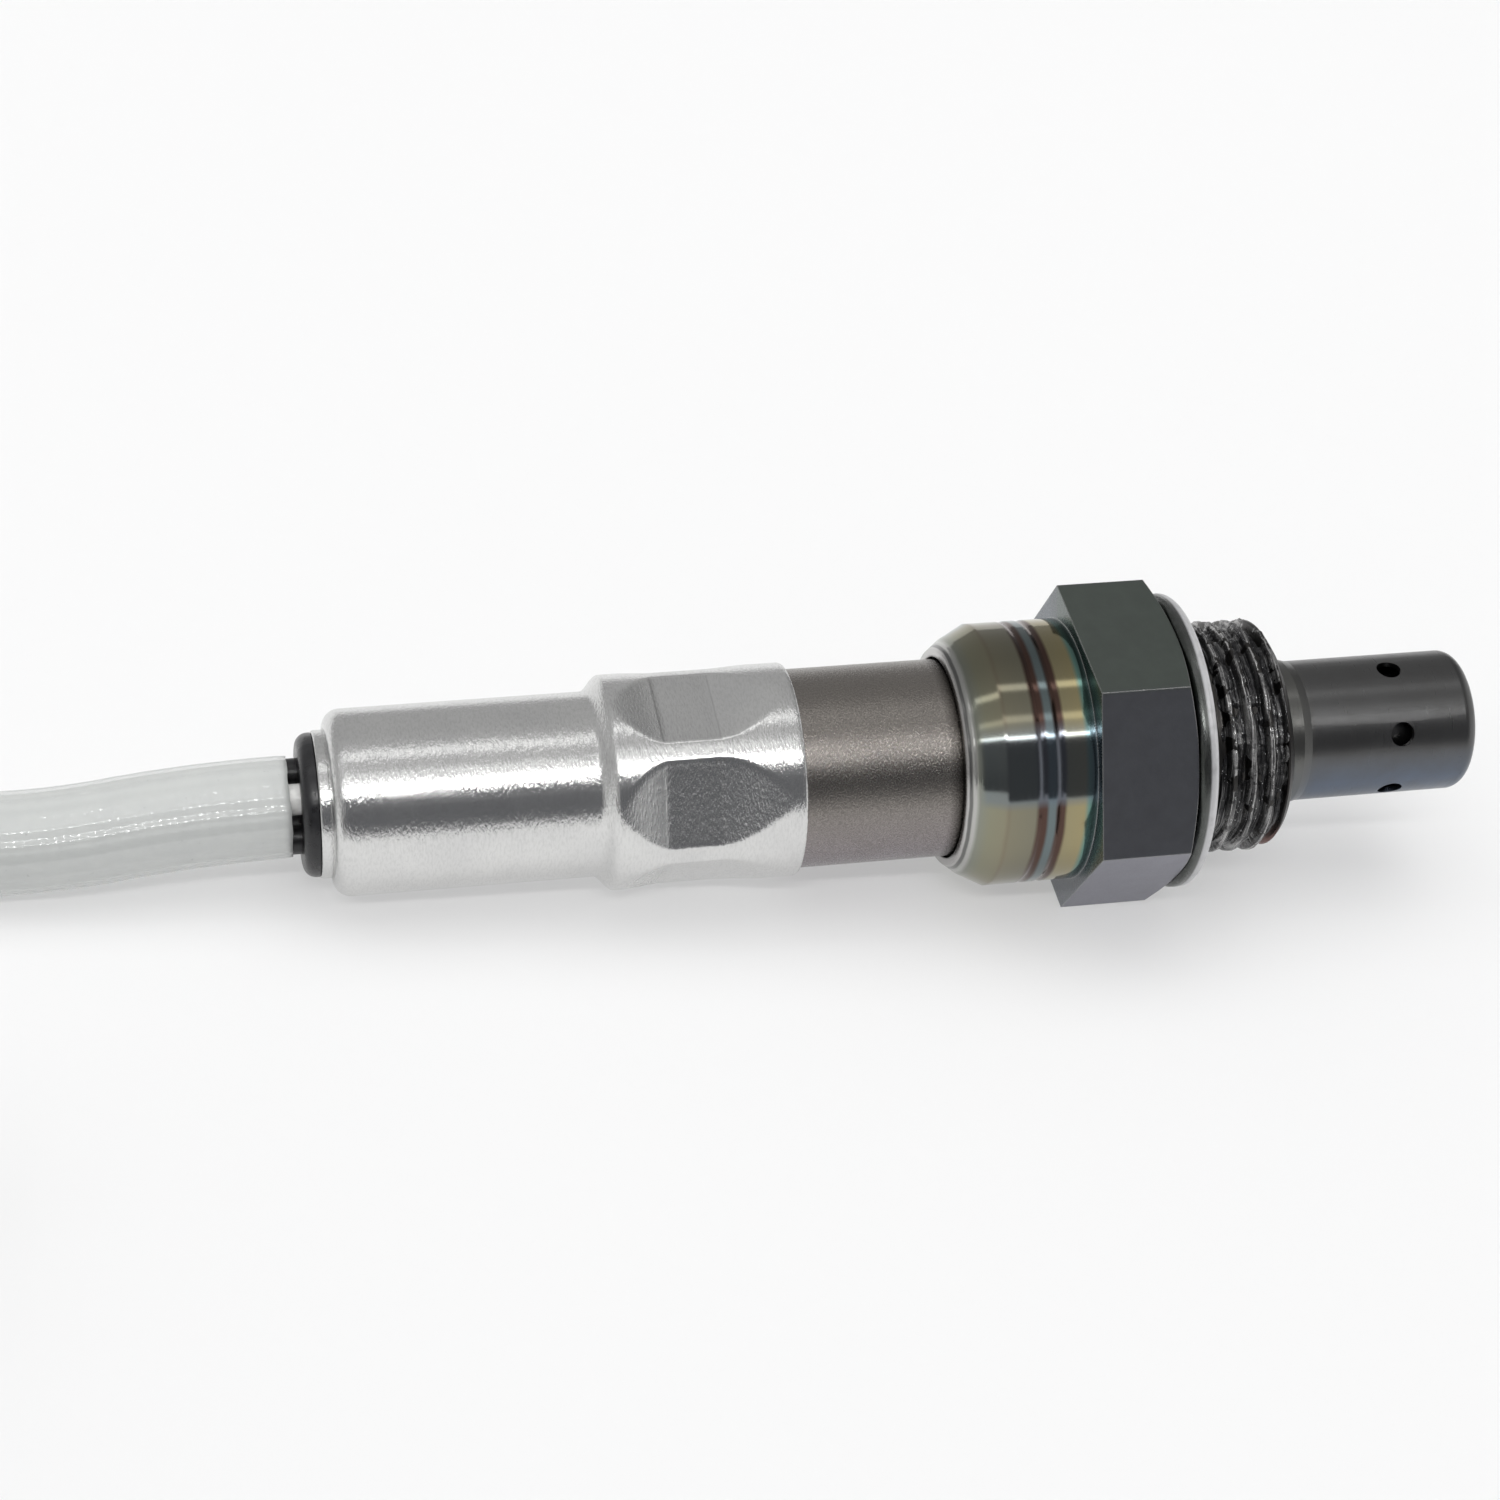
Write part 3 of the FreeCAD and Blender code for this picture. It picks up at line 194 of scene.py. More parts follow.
# Inside of the sleeve: place of each ring.
INSIDE_RINGS = (
    SLEEVE_SMALL_END, SLEEVE_STEP_END, SLEEVE_STEP, -41.0, JAW_END, JAW_START,
    -33.0, -31.0, SLEEVE_MOUTH,
)

# Four wires: where they end, and how far into the woven sleeve they are drawn on.
WIRE_END = -66.1
WIRE_TUCKED = -70.0

# Woven sleeve of the lead: its cut edge is ragged, and its ends are hollow.
CORD_RADIUS = 3.8
CORD_BORE = 3.65
CORD_ROUNDING = 0.05
CORD_START = 0.45
CORD_RAGGED = 0.16
CORD_HOLLOW = 6.0
CORD_COLUMNS = 64
# Weave: length of one crossing, and crossings round the sleeve.
WEAVE_LENGTH = 2.3
WEAVE_COUNT = 10.0
# Control points of the lead's line, in millimetres in the row frame.
CORD_ROUTE = [
    (-45.4748, 0.0, 6.6625),
    (-52.4558, 0.0, 6.1475),
    (-65.0, -0.8, 4.0),
    (-79.0, 0.2, 3.8),
    (-98.5, 3.8, 3.8),
    (-119.0, 7.0, 3.8),
    (-139.0, 7.0, 3.8),
    (-155.0, 4.5, 3.8),
    (-169.0, -3.0, 3.8),
    (-177.5, -16.0, 3.8),
    (-178.5, -31.5, 3.8),
    (-172.0, -45.5, 3.8),
    (-159.5, -54.5, 3.8),
    (-145.5, -57.0, 4.5),
    (-134.5, -55.0, 6.2),
    (-124.5, -51.5, 7.5),
    (-117.0, -48.5, 7.5),
]


def from_axis(x, y, z):
    """Point of the sensor's own frame, in millimetres, in the row frame."""
    return AXIS_TURN @ (Vector((x, y, z)) * MM) + AXIS_ZERO


def round_axis(x, radius, angle):
    """Point at a distance and an angle from the sensor's axis, in the row frame."""
    return from_axis(x, radius * math.cos(angle), radius * math.sin(angle))


# Node graphs


class Graph:
    """Node graph of a material or of the world."""

    def __init__(self, tree):
        self.tree = tree
        self.tree.nodes.clear()

    def add(self, kind, **settings):
        node = self.tree.nodes.new(kind)
        for name, value in settings.items():
            setattr(node, name, value)
        return node

    def put(self, socket, value):
        if isinstance(value, bpy.types.NodeSocket):
            self.tree.links.new(value, socket)
        elif value is not None:
            socket.default_value = value

    def math(self, operation, first, second=None):
        node = self.add("ShaderNodeMath", operation=operation)
        self.put(node.inputs[0], first)
        self.put(node.inputs[1], second)
        return node.outputs[0]

    def plus(self, first, second):
        return self.math("ADD", first, second)

    def minus(self, first, second):
        return self.math("SUBTRACT", first, second)

    def times(self, first, second):
        return self.math("MULTIPLY", first, second)

    def over(self, first, second):
        return self.math("DIVIDE", first, second)

    def spread(self, value, low, high, new_low=0.0, new_high=1.0, smooth=False):
        node = self.add("ShaderNodeMapRange")
        if smooth:
            node.interpolation_type = "SMOOTHSTEP"
        for socket, number in zip(node.inputs, (value, low, high, new_low, new_high)):
            self.put(socket, number)
        return node.outputs["Result"]

    def mix(self, factor, first, second, blend="MIX"):
        node = self.add("ShaderNodeMix", data_type="RGBA", blend_type=blend)
        self.put(node.inputs["Factor"], factor)
        self.put(node.inputs["A"], colour(first))
        self.put(node.inputs["B"], colour(second))
        return node.outputs["Result"]

    def ramp_along(self, value, stops):
        """Ramp whose stops are given in rising order, in the value's own unit."""
        low = stops[0][0]
        high = stops[-1][0]
        node = self.add("ShaderNodeValToRGB")
        elements = node.color_ramp.elements
        while len(elements) < len(stops):
            elements.new(0.5)
        for element, (at, shade) in zip(elements, stops):
            element.position = (at - low) / (high - low)
            element.color = colour(shade)
        self.put(node.inputs[0], self.spread(value, low, high))
        return node.outputs[0]

    def vector(self, x, y, z):
        node = self.add("ShaderNodeCombineXYZ")
        for socket, value in zip(node.inputs, (x, y, z)):
            self.put(socket, value)
        return node.outputs[0]

    def noise(self, vector, scale, detail=2.0, roughness=0.5):
        node = self.add("ShaderNodeTexNoise")
        self.put(node.inputs["Vector"], vector)
        self.put(node.inputs["Scale"], scale)
        self.put(node.inputs["Detail"], detail)
        self.put(node.inputs["Roughness"], roughness)
        return node.outputs["Fac"]

    def cells(self, vector, scale):
        node = self.add("ShaderNodeTexVoronoi")
        self.put(node.inputs["Vector"], vector)
        self.put(node.inputs["Scale"], scale)
        return node.outputs["Distance"]

    def bump(self, height, distance_mm, strength=1.0, normal=None):
        node = self.add("ShaderNodeBump")
        self.put(node.inputs["Strength"], strength)
        self.put(node.inputs["Distance"], distance_mm * MM)
        self.put(node.inputs["Height"], height)
        self.put(node.inputs["Normal"], normal)
        return node.outputs[0]

    def edges(self, radius):
        node = self.add("ShaderNodeBevel", samples=4)
        self.put(node.inputs["Radius"], radius)
        return node.outputs[0]


def colour(value):
    if isinstance(value, bpy.types.NodeSocket):
        return value
    if isinstance(value, (int, float)):
        value = (value, value, value)
    return (*value[:3], 1.0)


class Material(Graph):
    """Material with one principled surface and the coordinates of the row frame."""

    def __init__(self, name):
        self.material = bpy.data.materials.new(name)
        self.material.use_nodes = True
        super().__init__(self.material.node_tree)
        output = self.add("ShaderNodeOutputMaterial")
        self.surface = self.add("ShaderNodeBsdfPrincipled")
        self.tree.links.new(self.surface.outputs[0], output.inputs["Surface"])
        self.row = self.add("ShaderNodeTexCoord").outputs["Object"]

    def within(self, zero, turn):
        """Place of the shaded point in another frame, in millimetres."""
        node = self.add("ShaderNodeMapping", vector_type="TEXTURE")
        self.put(node.inputs["Vector"], self.row)
        node.inputs["Location"].default_value = zero
        node.inputs["Rotation"].default_value = turn
        node.inputs["Scale"].default_value = (MM, MM, MM)
        return node.outputs[0]

    def finish(self, base, roughness, metallic=0.0, normal=None, **others):
        inputs = self.surface.inputs
        self.put(inputs["Base Color"], colour(base))
        self.put(inputs["Roughness"], roughness)
        self.put(inputs["Metallic"], metallic)
        self.put(inputs["Normal"], normal)
        for name, value in others.items():
            self.put(inputs[name.replace("_", " ").title().replace("Ior", "IOR")], value)
        return self.material


class AxisMaterial(Material):
    """Material that knows where a point lies along the sensor's axis and round it."""

    def __init__(self, name):
        super().__init__(name)
        self.place = self.within(AXIS_ZERO, (0.0, -AXIS_TILT, 0.0))
        split = self.add("ShaderNodeSeparateXYZ")
        self.put(split.inputs[0], self.place)
        self.x, self.y, self.z = split.outputs
        across = self.plus(self.times(self.y, self.y), self.times(self.z, self.z))
        self.radius = self.math("SQRT", across)
        self.upward = self.over(self.z, self.radius)

    def turned_grain(self, along, around, detail=3.0):
        """Noise in short streaks that run round the axis."""
        streaks = self.vector(
            self.times(self.x, along),
            self.times(self.over(self.y, self.radius), around),
            self.times(self.upward, around),
        )
        return self.noise(streaks, 1.0, detail, 0.6)


# Materials


def sleeve_steel():
    """Bright turned steel with the marks that the jaws left on its flats, their edges and rectangles
    darkened with painted shade.
    """
    m = AxisMaterial("sleeve_steel")
    grain = m.turned_grain(7.0, 16.0)
    cloud = m.noise(m.place, 0.25, 3.0)
    angle = m.math("ARCTAN2", m.z, m.y)
    off_middle = m.math("PINGPONG", m.minus(angle, FLAT_TURN), SIXTH / 2)
    side = m.times(m.radius, m.math("SINE", off_middle))
    from_mark = m.math("ABSOLUTE", m.plus(m.x, -0.5 * (JAW_START + JAW_END)))
    from_mark = m.minus(from_mark, 0.5 * (JAW_START - JAW_END))
    base = m.mix(m.spread(cloud, 0.3, 0.7), (0.71, 0.71, 0.70), (0.66, 0.66, 0.655))
    base = m.mix(m.spread(grain, 0.46, 0.62, 0.0, 0.13), base, (0.3, 0.3, 0.3))
    # painted shade: a thin dark line at the front and back of the rectangle that the jaws leave on
    # each upper flat, for the shade at the mark's edges
    line = m.spread(m.math("ABSOLUTE", from_mark), 0.03, 0.09, 0.14, 0.0)
    line = m.times(line, m.spread(side, JAW_HALF_WIDTH, JAW_HALF_WIDTH + 0.15, 1.0, 0.0))
    line = m.times(line, m.spread(m.z, -1.0, 0.0))
    base = m.mix(line, base, (0.12, 0.12, 0.12))
    # painted shade: the rectangle itself a little darker, on the upper flats only
    painted_mark_shade = m.spread(side, JAW_HALF_WIDTH + 0.1, JAW_HALF_WIDTH)
    painted_mark_shade = m.times(m.spread(from_mark, 0.02, -0.02), painted_mark_shade)
    painted_mark_shade = m.times(painted_mark_shade, m.spread(m.z, -1.0, 0.0, 0.0, 0.12))
    base = m.mix(painted_mark_shade, base, (0.3, 0.3, 0.3))
    # sheet that the press drew in behind the rectangle
    drawn = m.spread(m.radius, SLEEVE_LARGE - 0.02, SLEEVE_LARGE - 0.2)
    drawn = m.times(drawn, m.spread(m.x, CRIMP_END - 0.1, CRIMP_END + 0.6))
    in_mark = m.spread(side, JAW_HALF_WIDTH + 0.15, JAW_HALF_WIDTH)
    in_mark = m.times(m.spread(from_mark, 0.05, -0.05), in_mark)
    drawn = m.times(drawn, m.minus(1.0, in_mark))
    drawn = m.times(drawn, m.spread(m.x, JAW_START, JAW_END, 0.0, 0.09))
    rough = m.plus(m.spread(grain, 0.3, 0.7, 0.16, 0.22), drawn)
    return m.finish(base, rough, 1.0, m.bump(grain, 0.04))


def tube_steel():
    """Satin steel, brown from heat; paler and lilac below as a painted reflection, and darkest, with
    painted shade, where it enters the shell.
    """
    m = AxisMaterial("tube_steel")
    grain = m.noise(m.place, 6.5, 3.0, 0.6)
    cloud = m.noise(m.place, 0.3, 3.0)
    # painted reflection: the underside paler and lilac, as the floor's reflection
    underside_painted_reflection = m.spread(m.upward, 0.3, -0.5)
    base = m.mix(underside_painted_reflection, (0.265, 0.245, 0.225), (0.30, 0.268, 0.285))
    base = m.mix(m.spread(cloud, 0.35, 0.7, 0.0, 0.3), base, (0.22, 0.20, 0.19))
    base = m.mix(m.spread(grain, 0.42, 0.62, 0.0, 0.35), base, (0.12, 0.11, 0.105))
    # painted shade: dark where the tube runs in under the shell's lip
    base = m.mix(m.spread(m.x, LIP_END - 1.0, LIP_END), base, (0.05, 0.045, 0.04))
    normal = m.bump(grain, 0.032)
    return m.finish(base, m.spread(grain, 0.3, 0.7, 0.24, 0.32), 1.0, normal)


def shell_steel():
    """Heat-tinted turned steel; the hexagon is darker, each of its faces with its own painted shade,
    and its edges bright, partly from wear and partly a painted highlight.
    """
    m = AxisMaterial("shell_steel")
    wobble = m.times(m.minus(m.noise(m.place, 0.35, 2.0), 0.5), 0.15)
    shifted = m.plus(m.x, wobble)
    collar_colour_and_painted_light = m.ramp_along(shifted, HEAT_TINTS_AND_GROOVE_SHADE)
    # painted shade: the top of the lip and collar darker
    collar_colour_and_painted_light = m.mix(m.spread(m.upward, 0.85, 1.0, 0.0, 0.32), collar_colour_and_painted_light, (0.0, 0.0, 0.0))
    # painted reflection: a bluish band part way up the collar's sides, where it mirrors the dark
    # front of the room
    painted_blue_reflection = m.spread(m.math("ABSOLUTE", m.minus(m.upward, 0.55)), 0.2, 0.27, 0.6, 0.0)
    painted_blue_reflection = m.times(painted_blue_reflection, m.spread(m.x, LIP_BEND + 0.3, LIP_BEND + 0.9))
    collar_colour_and_painted_light = m.mix(painted_blue_reflection, collar_colour_and_painted_light, (0.16, 0.20, 0.24))
    # painted light on the hexagon: each face has its own shade by the way it faces; the top
    # greenish, the front bluish grey, the faces below paler lilac as the floor's reflection
    dark = m.mix(m.spread(m.upward, 0.855, 0.875), (0.165, 0.17, 0.185), (0.144, 0.165, 0.149))
    dark = m.mix(m.spread(m.upward, 0.01, -0.01), dark, (0.23, 0.23, 0.27))
    cloud = m.noise(m.place, 0.6, 4.0, 0.6)
    dark = m.mix(m.spread(cloud, 0.35, 0.7, 0.0, 0.12), dark, (0.05, 0.05, 0.05))
    on_hexagon = m.spread(m.x, HEXAGON_BACK - 0.06, HEXAGON_BACK + 0.04)
    base = m.mix(on_hexagon, collar_colour_and_painted_light, dark)
    base = m.mix(m.spread(m.x, END_FACE - 0.6, END_FACE), base, (0.075, 0.057, 0.05))
    soft_edges = m.edges(m.spread(on_hexagon, 0.0, 1.0, EDGE_ROUNDING, HEXAGON_ROUNDING))
    # edges bright where the rounded shading normal turns from the true one: partly wear, partly a
    # painted highlight
    bare = m.add("ShaderNodeNewGeometry").outputs["Normal"]
    edge_wear_and_highlight = m.add("ShaderNodeVectorMath", operation="DOT_PRODUCT")
    m.put(edge_wear_and_highlight.inputs[0], soft_edges)
    m.put(edge_wear_and_highlight.inputs[1], bare)
    edge_wear_and_highlight = m.spread(edge_wear_and_highlight.outputs["Value"], 0.985, 0.90)
    edge_wear_and_highlight = m.times(edge_wear_and_highlight, m.times(on_hexagon, m.spread(m.x, 0.3, 0.0)))
    base = m.mix(edge_wear_and_highlight, base, (0.46, 0.46, 0.45))
    rings = m.turned_grain(14.0, 1.4)
    turned = m.noise(m.vector(m.times(m.radius, 4.5), m.times(m.x, 1.5), 0.0), 1.0)
    fine = m.noise(m.place, 9.0, 2.0)
    rolled = m.spread(m.x, LIP_BEND + 0.5, LIP_BEND)
    polished = m.spread(rings, 0.3, 0.7, 0.07, 0.12)
    polished = m.plus(polished, m.times(rolled, 0.12))
    roughness = m.mix(on_hexagon, polished, m.spread(fine, 0.3, 0.7, 0.34, 0.42))
    height = m.times(rings, m.spread(rolled, 0.0, 1.0, 0.12, 0.8))
    height = m.plus(height, m.times(m.times(turned, rolled), 8.0))
    height = m.mix(on_hexagon, height, m.times(fine, 0.6))
    normal = m.bump(height, 0.012, 0.6, soft_edges)
    return m.finish(base, roughness, 1.0, normal)


def thread_steel():
    """Dark cut thread, painted near black as shade, reddish-brown low on its end chamfer."""
    m = AxisMaterial("thread_steel")
    fine = m.turned_grain(9.0, 6.0)
    # painted shade: the steel near black, so that where it shows between the paste it reads as the
    # dark roots
    low = m.spread(m.upward, -0.2, -0.6)
    chamfer = m.mix(low, (0.035, 0.033, 0.032), (0.16, 0.07, 0.055))
    base = m.mix(m.spread(m.x, END_FACE - 0.5, END_FACE), (0.05, 0.048, 0.046), chamfer)
    return m.finish(base, m.spread(fine, 0.3, 0.7, 0.25, 0.4), 1.0, m.bump(fine, 0.02, 0.7))


def thread_paste():
    """Black anti-seize paste, rubbed bright on the crests."""
    m = AxisMaterial("thread_paste")
    lumps = m.noise(m.place, 1.1, 3.0, 0.6)
    flakes = m.cells(m.place, 3.2)
    streaks = m.turned_grain(3.5, 1.2, 1.0)
    scratches = m.turned_grain(8.0, 2.2, 1.5)
    raised = m.spread(m.radius, 8.1, 8.75)
    raised = m.times(raised, m.spread(streaks, 0.4, 0.56, 0.15, 1.0))
    raised = m.times(raised, m.spread(scratches, 0.42, 0.56, 0.15, 1.0))
    base = m.mix(raised, (0.028, 0.028, 0.03), (0.46, 0.455, 0.45))
    base = m.mix(m.spread(lumps, 0.55, 0.65, 0.0, 0.8), base, (0.022, 0.022, 0.023))
    specks = m.spread(flakes, 0.15, 0.1)
    base = m.mix(specks, base, (0.6, 0.6, 0.6))
    height = m.plus(m.times(lumps, 0.6), m.times(streaks, 0.8))
    height = m.plus(height, m.times(scratches, 0.6))
    shine = m.spread(scratches, 0.35, 0.65, 0.12, 0.3)
    return m.finish(base, shine, 0.8, m.bump(height, 0.2))


def gasket_steel():
    """Folded sheet with a bright rim; its fold is darkened with painted shade."""
    m = AxisMaterial("gasket_steel")
    grain = m.turned_grain(6.0, 8.0)
    cloud = m.noise(m.place, 0.8, 3.0)
    # painted shade: the fold beside the hexagon dark, then the bright rim
    base = m.ramp_along(m.x, GASKET_SHADE_AND_RIM)
    base = m.mix(m.spread(cloud, 0.5, 0.7, 0.0, 0.3), base, (0.16, 0.16, 0.165))
    rim = m.spread(m.x, 0.75, 0.95)
    rough = m.plus(m.spread(grain, 0.3, 0.7, 0.22, 0.36), m.times(rim, 0.15))
    metal = m.spread(rim, 0.0, 1.0, 1.0, 0.45)
    return m.finish(base, rough, metal, m.bump(grain, 0.025, 0.8))


def protector_steel():
    """Dark satin sheet, with a painted bluish reflection below, and paler at its foot."""
    m = AxisMaterial("protector_steel")
    grain = m.turned_grain(9.0, 2.0)
    cloud = m.noise(m.place, 0.45, 4.0, 0.6)
    # painted reflection: bluish below, as the floor's reflection
    underside_painted_reflection = m.spread(m.upward, 0.35, -0.2)
    base = m.mix(underside_painted_reflection, (0.125, 0.125, 0.125), (0.12, 0.145, 0.19))
    base = m.mix(m.spread(cloud, 0.35, 0.7, 0.0, 0.35), base, (0.10, 0.098, 0.095))
    base = m.mix(m.spread(m.x, 11.6, 10.2, 0.0, 0.7), base, (0.15, 0.15, 0.14))
    normal = m.bump(grain, 0.005, 0.8)
    return m.finish(base, m.spread(grain, 0.3, 0.7, 0.27, 0.35), 1.0, normal)


def contact_metal():
    """Tinned spring bronze."""
    m = Material("contact_metal")
    grain = m.noise(m.row, 4000.0, 2.0)
    base = m.mix(grain, (0.62, 0.58, 0.48), (0.52, 0.49, 0.42))
    return m.finish(base, m.spread(grain, 0.3, 0.7, 0.25, 0.4), 1.0)


def matt_material(name, light, dark, scale, roughness):
    """Ceramic, talc or rubber: matt, in clouds of two close shades."""
    m = Material(name)
    cloud = m.noise(m.row, scale, 4.0, 0.6)
    base = m.mix(m.spread(cloud, 0.35, 0.65), light, dark)
    rough = m.spread(cloud, 0.3, 0.7, roughness, roughness + 0.1)
    return m.finish(base, rough, 0.0, m.bump(cloud, 0.05, 0.4))


def black_rubber():
    """Satin rubber of the grommet."""
    m = AxisMaterial("black_rubber")
    cloud = m.noise(m.place, 1.6, 4.0, 0.6)
    base = m.mix(m.spread(cloud, 0.35, 0.7), (0.007, 0.007, 0.008), (0.014, 0.014, 0.016))
    normal = m.bump(cloud, 0.05, 0.6)
    return m.finish(base, m.spread(cloud, 0.3, 0.7, 0.24, 0.36), 0.0, normal)


def wire_insulation(name, shade):
    """Smooth insulation of one wire."""
    m = Material(name)
    cloud = m.noise(m.row, 1500.0, 3.0)
    darker = tuple(part * 0.75 for part in shade)
    base = m.mix(m.spread(cloud, 0.3, 0.7), shade, darker)
    return m.finish(base, m.spread(cloud, 0.3, 0.7, 0.28, 0.4), 0.0, m.bump(cloud, 0.03, 0.5))


def plug_wire_colours():
    """Four wires side by side, each in its own colour."""
    m = Material("plug_wire_colours")
    place = m.within(PLUG_ZERO, (0.0, 0.0, PLUG_TURN))
    split = m.add("ShaderNodeSeparateXYZ")
    m.put(split.inputs[0], place)
    right = m.math("GREATER_THAN", split.outputs[1], 0.0)
    upper = m.math("GREATER_THAN", split.outputs[2], 0.0)
    top_row = m.mix(right, (0.78, 0.78, 0.76), (0.015, 0.015, 0.016))
    low_row = m.mix(right, (0.015, 0.015, 0.016), (0.2, 0.2, 0.205))
    base = m.mix(upper, low_row, top_row)
    cloud = m.noise(place, 1.5, 3.0)
    return m.finish(base, m.spread(cloud, 0.3, 0.7, 0.28, 0.4), 0.0, m.bump(cloud, 0.03, 0.5))


def moulded_plastic(name, shade, roughness):
    """Plastic of the plug, with a fine grain and rounded edges."""
    m = Material(name)
    place = m.within(PLUG_ZERO, (0.0, 0.0, PLUG_TURN))
    grain = m.noise(place, 12.0, 3.0, 0.6)
    cloud = m.noise(place, 0.4, 3.0)
    lighter = tuple(part * 1.3 for part in shade)
    base = m.mix(m.spread(cloud, 0.3, 0.7), shade, lighter)
    normal = m.bump(grain, 0.03, 0.6, m.edges(0.25 * MM))
    rough = m.spread(grain, 0.3, 0.7, roughness, roughness + 0.1)
    return m.finish(base, rough, 0.0, normal)


def woven_sleeve():
    """Coated weave: two sets of yarns that cross, on the tube's own length and angle."""
    m = Material("woven_sleeve")
    uv = m.add("ShaderNodeUVMap", uv_map="Along")
    split = m.add("ShaderNodeSeparateXYZ")
    m.put(split.inputs[0], uv.outputs[0])
    along = m.times(split.outputs[0], 2.0 * math.pi / WEAVE_LENGTH)
    around = m.times(split.outputs[1], 2.0 * math.pi * WEAVE_COUNT)
    first = m.math("SINE", m.plus(along, around))
    second = m.math("SINE", m.minus(along, around))
    knots = m.spread(m.times(first, second), -1.0, 1.0)
    place = m.within((0.0, 0.0, 0.0), (0.0, 0.0, 0.0))
    soft = m.noise(place, 0.55, 3.0, 0.6)
    fine = m.noise(place, 5.0, 2.0)
    height = m.plus(knots, m.times(soft, 0.8))
    height = m.plus(height, m.times(fine, 0.5))
    base = m.mix(m.spread(soft, 0.3, 0.7), (0.56, 0.575, 0.56), (0.53, 0.545, 0.535))
    specks = m.spread(m.noise(place, 2.2, 2.0), 0.72, 0.78, 0.0, 0.5)
    base = m.mix(specks, base, (0.36, 0.37, 0.36))
    beads = m.plus(knots, m.times(fine, 0.12))
    m.put(m.surface.inputs["Coat Normal"], m.bump(beads, 0.19))
    coat = {"coat_weight": 1.0, "coat_roughness": 0.04, "coat_ior": 1.7}
    return m.finish(base, 0.5, 0.0, m.bump(height, 0.012), **coat)


def floor_white():
    """Pale matt floor with a faint glow, so that it stays pale beside the object."""
    m = Material("floor_white")
    cloud = m.noise(m.row, 9.0, 2.0)
    base = m.mix(cloud, (0.47, 0.47, 0.47), (0.48, 0.48, 0.48))
    return m.finish(base, 0.9, 0.0, emission_color=(1.0, 1.0, 1.0, 1.0), emission_strength=0.4)


LOOKS = {
    "shell_steel": shell_steel(),
    "gasket_steel": gasket_steel(),
    "protector_steel": protector_steel(),
    "tube_steel": tube_steel(),
    "sleeve_steel": sleeve_steel(),
    "contact_metal": contact_metal(),
    "dark_ceramic": matt_material("dark_ceramic", (0.27, 0.28, 0.28), (0.2, 0.2, 0.2), 900, 0.5),
    "white_ceramic": matt_material("white_ceramic", (0.77, 0.74, 0.67), (0.7, 0.67, 0.6), 700, 0.5),
    "talc": matt_material("talc", (0.62, 0.6, 0.53), (0.54, 0.52, 0.46), 2500, 0.75),
    "black_rubber": black_rubber(),
    "seal_rubber": matt_material("seal_rubber", (0.36, 0.07, 0.03), (0.28, 0.05, 0.025), 800, 0.4),
    "black_insulation": wire_insulation("black_insulation", (0.014, 0.014, 0.015)),
    "white_insulation": wire_insulation("white_insulation", (0.75, 0.75, 0.73)),
    "grey_insulation": wire_insulation("grey_insulation", (0.2, 0.2, 0.205)),
    "plug_plastic": moulded_plastic("plug_plastic", (0.022, 0.023, 0.025), 0.42),
    "lock_plastic": moulded_plastic("lock_plastic", (0.2, 0.205, 0.21), 0.4),
}

slot_of = {part["node"]: part["material_slot"] for part in frame["record"]["subparts"]}


def wear(obj, material):
    obj.data.materials.clear()
    obj.data.materials.append(material)


for name, obj in nodes.items():
    if slot_of[name] in LOOKS:
        wear(obj, LOOKS[slot_of[name]])
wear(nodes["plug_wires"], plug_wire_colours())


def new_object(name, data):
    obj = bpy.data.objects.new(name, data)
    bpy.context.scene.collection.objects.link(obj)
    return obj


def new_mesh(name, points, faces):
    mesh = bpy.data.meshes.new(name)
    mesh.from_pydata([tuple(point) for point in points], [], faces)
    mesh.update()
    mesh.shade_smooth()
    return new_object(name, mesh)


def reshaped(node, name, moved):
    """Copy of a node's solid; `moved` gives each point's new place in the sensor's frame."""
    mesh = nodes[node].data.copy()
    for vertex in mesh.vertices:
        place = moved(*(AXIS_BACK @ (vertex.co - AXIS_ZERO)) / MM)
        if place:
            vertex.co = from_axis(*place)
    mesh.update()
    return new_object(name, mesh)


def grid_faces(rows, columns):
    """Faces of a grid of points whose columns close round the axis."""
    faces = []
    for row in range(rows - 1):
        for column in range(columns):
            after = (column + 1) % columns
            faces.append((
                row * columns + column,
                row * columns + after,
                (row + 1) * columns + after,
                (row + 1) * columns + column,
            ))
    return faces


# Shell with a true helical thread


def eased(share):
    """Share from 0 to 1 with a soft start and end."""
    share = min(max(share, 0.0), 1.0)
    return share * share * (3 - 2 * share)


def thread_limit(x):
    """Outside of the blank that the thread is cut in."""
    if x < THREAD_FIRST:
        return THREAD_CORE
    if x < THREAD_FIRST + THREAD_RUNOUT:
        return THREAD_CORE + (THREAD_CREST - THREAD_CORE) * (x - THREAD_FIRST) / THREAD_RUNOUT
    return THREAD_CREST - max(x - (THREAD_LAST - THREAD_CHAMFER), 0.0)


def thread_radius(x, angle):
    phase = x / THREAD_PITCH - angle / (2 * math.pi)
    off_crest = abs(phase - round(phase))
    depth = eased((off_crest - CREST_SHARE) / FLANK_SHARE)
    radius = THREAD_CREST - (THREAD_CREST - THREAD_ROOT) * depth
    return min(radius, thread_limit(x))


def around_axis(name, places, columns, radius_at):
    points = []
    for x in places:
        for column in range(columns):
            angle = 2 * math.pi * column / columns
            points.append(round_axis(x, radius_at(x, angle), angle))
    return new_mesh(name, points, grid_faces(len(places), columns))


